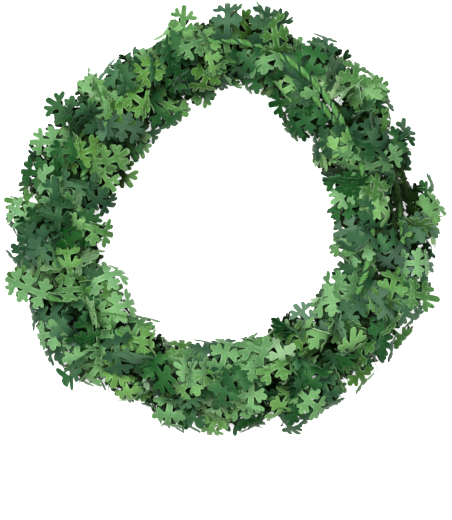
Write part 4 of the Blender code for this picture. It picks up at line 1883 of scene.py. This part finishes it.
        # Painted shade in the hollows: the cover is raised over them, so that all in them counts as deep.
        for hollow in self.hollows:
            spot = self.strand.spot(hollow.right, hollow.up, self.hollow_shade_top_mm)
            made.add(spot + disc(hollow.radius * MM, made.cell))
        made.even_out()
        return made

    def bed_leaf(self, tone: Tone, along: float) -> Leaf:
        """One of the leaves that lie low in the bundle."""
        chance, number = self.chance, self.strand.index(along)
        ahead = turned(self.strand.outward(self.strand.points[number]), UP, chance.uniform(0, FULL_TURN))
        tip = np.cross(UP, ahead)
        slope = math.radians(chance.uniform(*self.bed.slope))
        face = turned(UP, ahead, math.radians(chance.gauss(0, self.bed.roll)))
        ahead, face = turned(ahead, tip, slope), turned(face, tip, slope)
        shape = LeafShape.random(chance, self.bed.wild)
        return self.placed(tone, along, (self.strand.points[number], ahead, face), shape)

    def hero_leaf(self, hero: Hero) -> Leaf:
        """A leaf that stands out, in one of the shapes it may take."""
        chance, habit = self.chance, self.hero
        shifts = [chance.gauss(0, habit.root_mm) for _ in range(4)]
        end_x, end_y = hero.end_x + habit.end_share * shifts[2], hero.end_y + habit.end_share * shifts[3]
        root = self.strand.spot(hero.root_x + shifts[0], hero.root_y + shifts[1], habit.root_height_mm)
        end = self.strand.spot(end_x, end_y, 0)
        number = self.strand.nearest(root)
        start = self.strand.points[number]
        chord = end - start
        flat, lift = math.hypot(chord[0], chord[1]), (hero.lift + chance.gauss(0, habit.lift_mm)) * MM
        bow = bow_of(min(math.hypot(flat, lift) / (habit.length_mm * MM), habit.straightest))
        climb = math.atan2(lift, flat) + bow / 2
        level = unit(np.array((chord[0], chord[1], 0.0)))
        ahead = level * math.cos(climb) + UP * math.sin(climb)
        face = UP * math.cos(climb) - level * math.sin(climb)
        face = turned(face, ahead, math.radians(hero.roll + chance.gauss(0, habit.roll)))
        calm = abs(float(self.strand.across(end)) - self.strand.bundle_across_mm) > habit.edge_mm
        loose = LeafShape.random(chance, habit.calm if calm else habit.loose)
        shape = replace(loose, curl=math.degrees(bow))
        return self.placed(hero.tone, self.strand.along[number], (start, ahead, face), shape, hero.over)

    def common_leaf(self, along: float) -> Leaf:
        """One of the many leaves, in one of the ways it may stand."""
        chance, habit, number = self.chance, self.common, self.strand.index(along)
        start, tangent = self.strand.points[number], self.strand.tangents[number]
        out = self.strand.outward(start)
        out = unit(out - tangent * (out @ tangent))
        rise = np.cross(tangent, out)
        rise = rise * (1 if rise[2] > 0 else -1)
        around = self.strand.outside(start)
        skin = out * math.cos(around) + rise * math.sin(around)
        up = 1.0 if skin[2] > habit.underside else habit.hang
        face = unit(UP * up + skin * habit.away)
        tilt_axis = unit(np.array((chance.gauss(0, 1), chance.gauss(0, 1), chance.gauss(0, 1))))
        face = turned(face, tilt_axis, math.radians(chance.gauss(0, habit.tilt)))
        level = np.array((skin[0], skin[1], 0.0))
        ahead = turned(unit(np.cross(face, tangent)), face, chance.uniform(0, FULL_TURN))
        if chance.random() < habit.outward * max(-(ahead @ level), 0):
            ahead = -ahead
        climb = math.radians(abs(chance.gauss(*habit.climb)))
        cosine, sine = math.cos(climb), math.sin(climb)
        ahead, face = ahead * cosine + face * sine, face * cosine - ahead * sine
        shape = LeafShape.random(chance)
        over = chance.random() < habit.over
        return self.placed(Tone.DARK, along, (start, ahead, face), shape, over)

    def build(self, fabrics: dict, threads: list, cover: Cover) -> None:
        """Makes the pieces, one for each sprig, out of the leaves and threads nearest to it.

        Args:
            fabrics: The finish for each tone.
            threads: The loose threads.
            cover: How high the leaves stand.
        """
        sprigs = {Tone.LIGHT: [], Tone.DARK: []}
        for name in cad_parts:
            found = re.fullmatch(r"turn\d_(light|dark)_sprig_(\d+)", name)
            if found:
                share = (int(found[2]) - 0.5) / self.sprig_count * self.strand.coil_share
                place = share * self.strand.length
                sprigs[Tone(found[1])].append((place, name))
        gathered = {name: MeshParts() for known in sprigs.values() for _, name in known}
        for leaf in [*self.leaves, *threads]:
            _, name = min(sprigs[leaf.tone], key=lambda known: abs(known[0] - leaf.along))
            leaf.add_to(gathered[name], cover)
        for tone, known in sprigs.items():
            for _, name in known:
                piece = gathered[name].piece(f"{name}_leaves", fabrics[tone])
                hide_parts(name)


# --------------------------------------------------------------------------------------------------------
# The studio
# --------------------------------------------------------------------------------------------------------


@dataclass
class Studio:
    """A white table under soft light, and the camera that looks down on it."""

    strand: Strand
    aim_mm: tuple = (0.0, -17.5, 18.0)
    view_height_mm: float = 239.2
    lens_mm: float = 150.0
    sensor_mm: float = 36.0
    lamps: tuple = (
        ("lamp_above", (0.0, 0.05, 1.5), 0.8, 26.0),
        ("lamp_key", (-0.45, 0.5, 1.15), 0.4, 15.0),
        ("lamp_right", (0.9, -0.5, 0.9), 0.8, 3.0),
    )
    ambient: float = 0.25
    table_half: float = 3.0

    def build(self) -> None:
        """Makes the floor and the lights."""
        self.floor()
        for name, place, size, power in self.lamps:
            self.lamp(name, place, size, power)
        world = bpy.data.worlds.new("studio")
        world.use_nodes = True
        sky = world.node_tree.nodes["Background"].inputs
        sky["Color"].default_value = opaque((1.0, 1.0, 1.0))
        sky["Strength"].default_value = self.ambient
        bpy.context.scene.world = world
        bpy.context.scene.view_settings.view_transform = "Standard"
        bpy.context.scene.view_settings.look = "Medium High Contrast"

    def camera(self) -> None:
        """Makes the camera, straight above the table."""
        lens = bpy.data.cameras.new("camera")
        lens.lens, lens.sensor_width, lens.sensor_height = self.lens_mm, self.sensor_mm, self.sensor_mm
        lens.sensor_fit = "VERTICAL"
        away = self.view_height_mm * self.lens_mm / self.sensor_mm * MM
        lens.clip_end = 20.0
        made = bpy.data.objects.new("camera", lens)
        made.location = self.strand.spot(*self.aim_mm) + (0, 0, away)
        bpy.context.scene.collection.objects.link(made)
        bpy.context.scene.camera = made

    def lamp(self, name: str, place: tuple, size: float, power: float) -> None:
        """Makes a square lamp that points at the garland."""
        light = bpy.data.lights.new(name, "AREA")
        light.energy, light.size = power, size
        made = bpy.data.objects.new(name, light)
        made.location = place
        made.rotation_euler = (-Vector(place)).to_track_quat("-Z", "Y").to_euler()
        bpy.context.scene.collection.objects.link(made)

    def floor(self) -> None:
        """Makes the table's top: faintly uneven painted board, lit a little from below."""
        made, tree, shader = new_material("painted_board")
        spots = node(tree, "TexNoise", {"Scale": 90.0, "Detail": 6.0})["Fac"]
        paint = mixed(tree, spots, opaque((0.86, 0.86, 0.86)), opaque((0.9, 0.9, 0.9)))
        tree.links.new(paint, shader["Base Color"])
        tree.links.new(ranged(tree, spots, 0.1, 0.8), shader["Roughness"])
        shader["Emission Strength"].default_value = 0.4
        mesh = bpy.data.meshes.new("table_top")
        half = self.table_half
        corners = [(-half, -half, 0), (half, -half, 0), (half, half, 0), (-half, half, 0)]
        mesh.from_pydata(corners, [], [(0, 1, 2, 3)])
        mesh.materials.append(made)
        top = bpy.data.objects.new("table_top", mesh)
        bpy.context.scene.collection.objects.link(top)


def main() -> None:
    """Makes everything."""
    logging.basicConfig(level=logging.INFO, format="%(name)s: %(message)s")
    strand = Strand()
    studio = Studio(strand)
    studio.camera()
    foliage = Foliage(strand)
    foliage.grow()
    cover = foliage.cover()
    effects = SharedEffects()
    ribbon = TwistedRibbon(
        name="twisted_ribbon",
        fibre=(0.19, 0.34, 0.15),
        light=(0.062, 0.162, 0.045),
        dark=(0.011, 0.046, 0.02),
        pitch_mm=0.7,
        uneven=0.7,
        relief=0.4,
        sheen=0.04,
    )
    core = TwistedCore(strand)
    core.build(ribbon.material(effects), DrawnWire("drawn_wire").material(), cover)
    light = LeafFabric(
        name="light_leaf_fabric",
        fibre=(0.2, 0.325, 0.165),
        front=(0.0635, 0.148, 0.048),
        reverse=(0.14, 0.23, 0.117),
    )
    dark = LeafFabric(
        name="dark_leaf_fabric",
        fibre=(0.045, 0.11, 0.054),
        front=(0.0148, 0.0553, 0.0215),
        reverse=(0.051, 0.1, 0.061),
    )
    threads = [Thread(strand, *thread) for thread in THREADS]
    foliage.build({Tone.LIGHT: light.material(effects), Tone.DARK: dark.material(effects)}, threads, cover)
    studio.build()


if __name__ == "__main__":
    main()
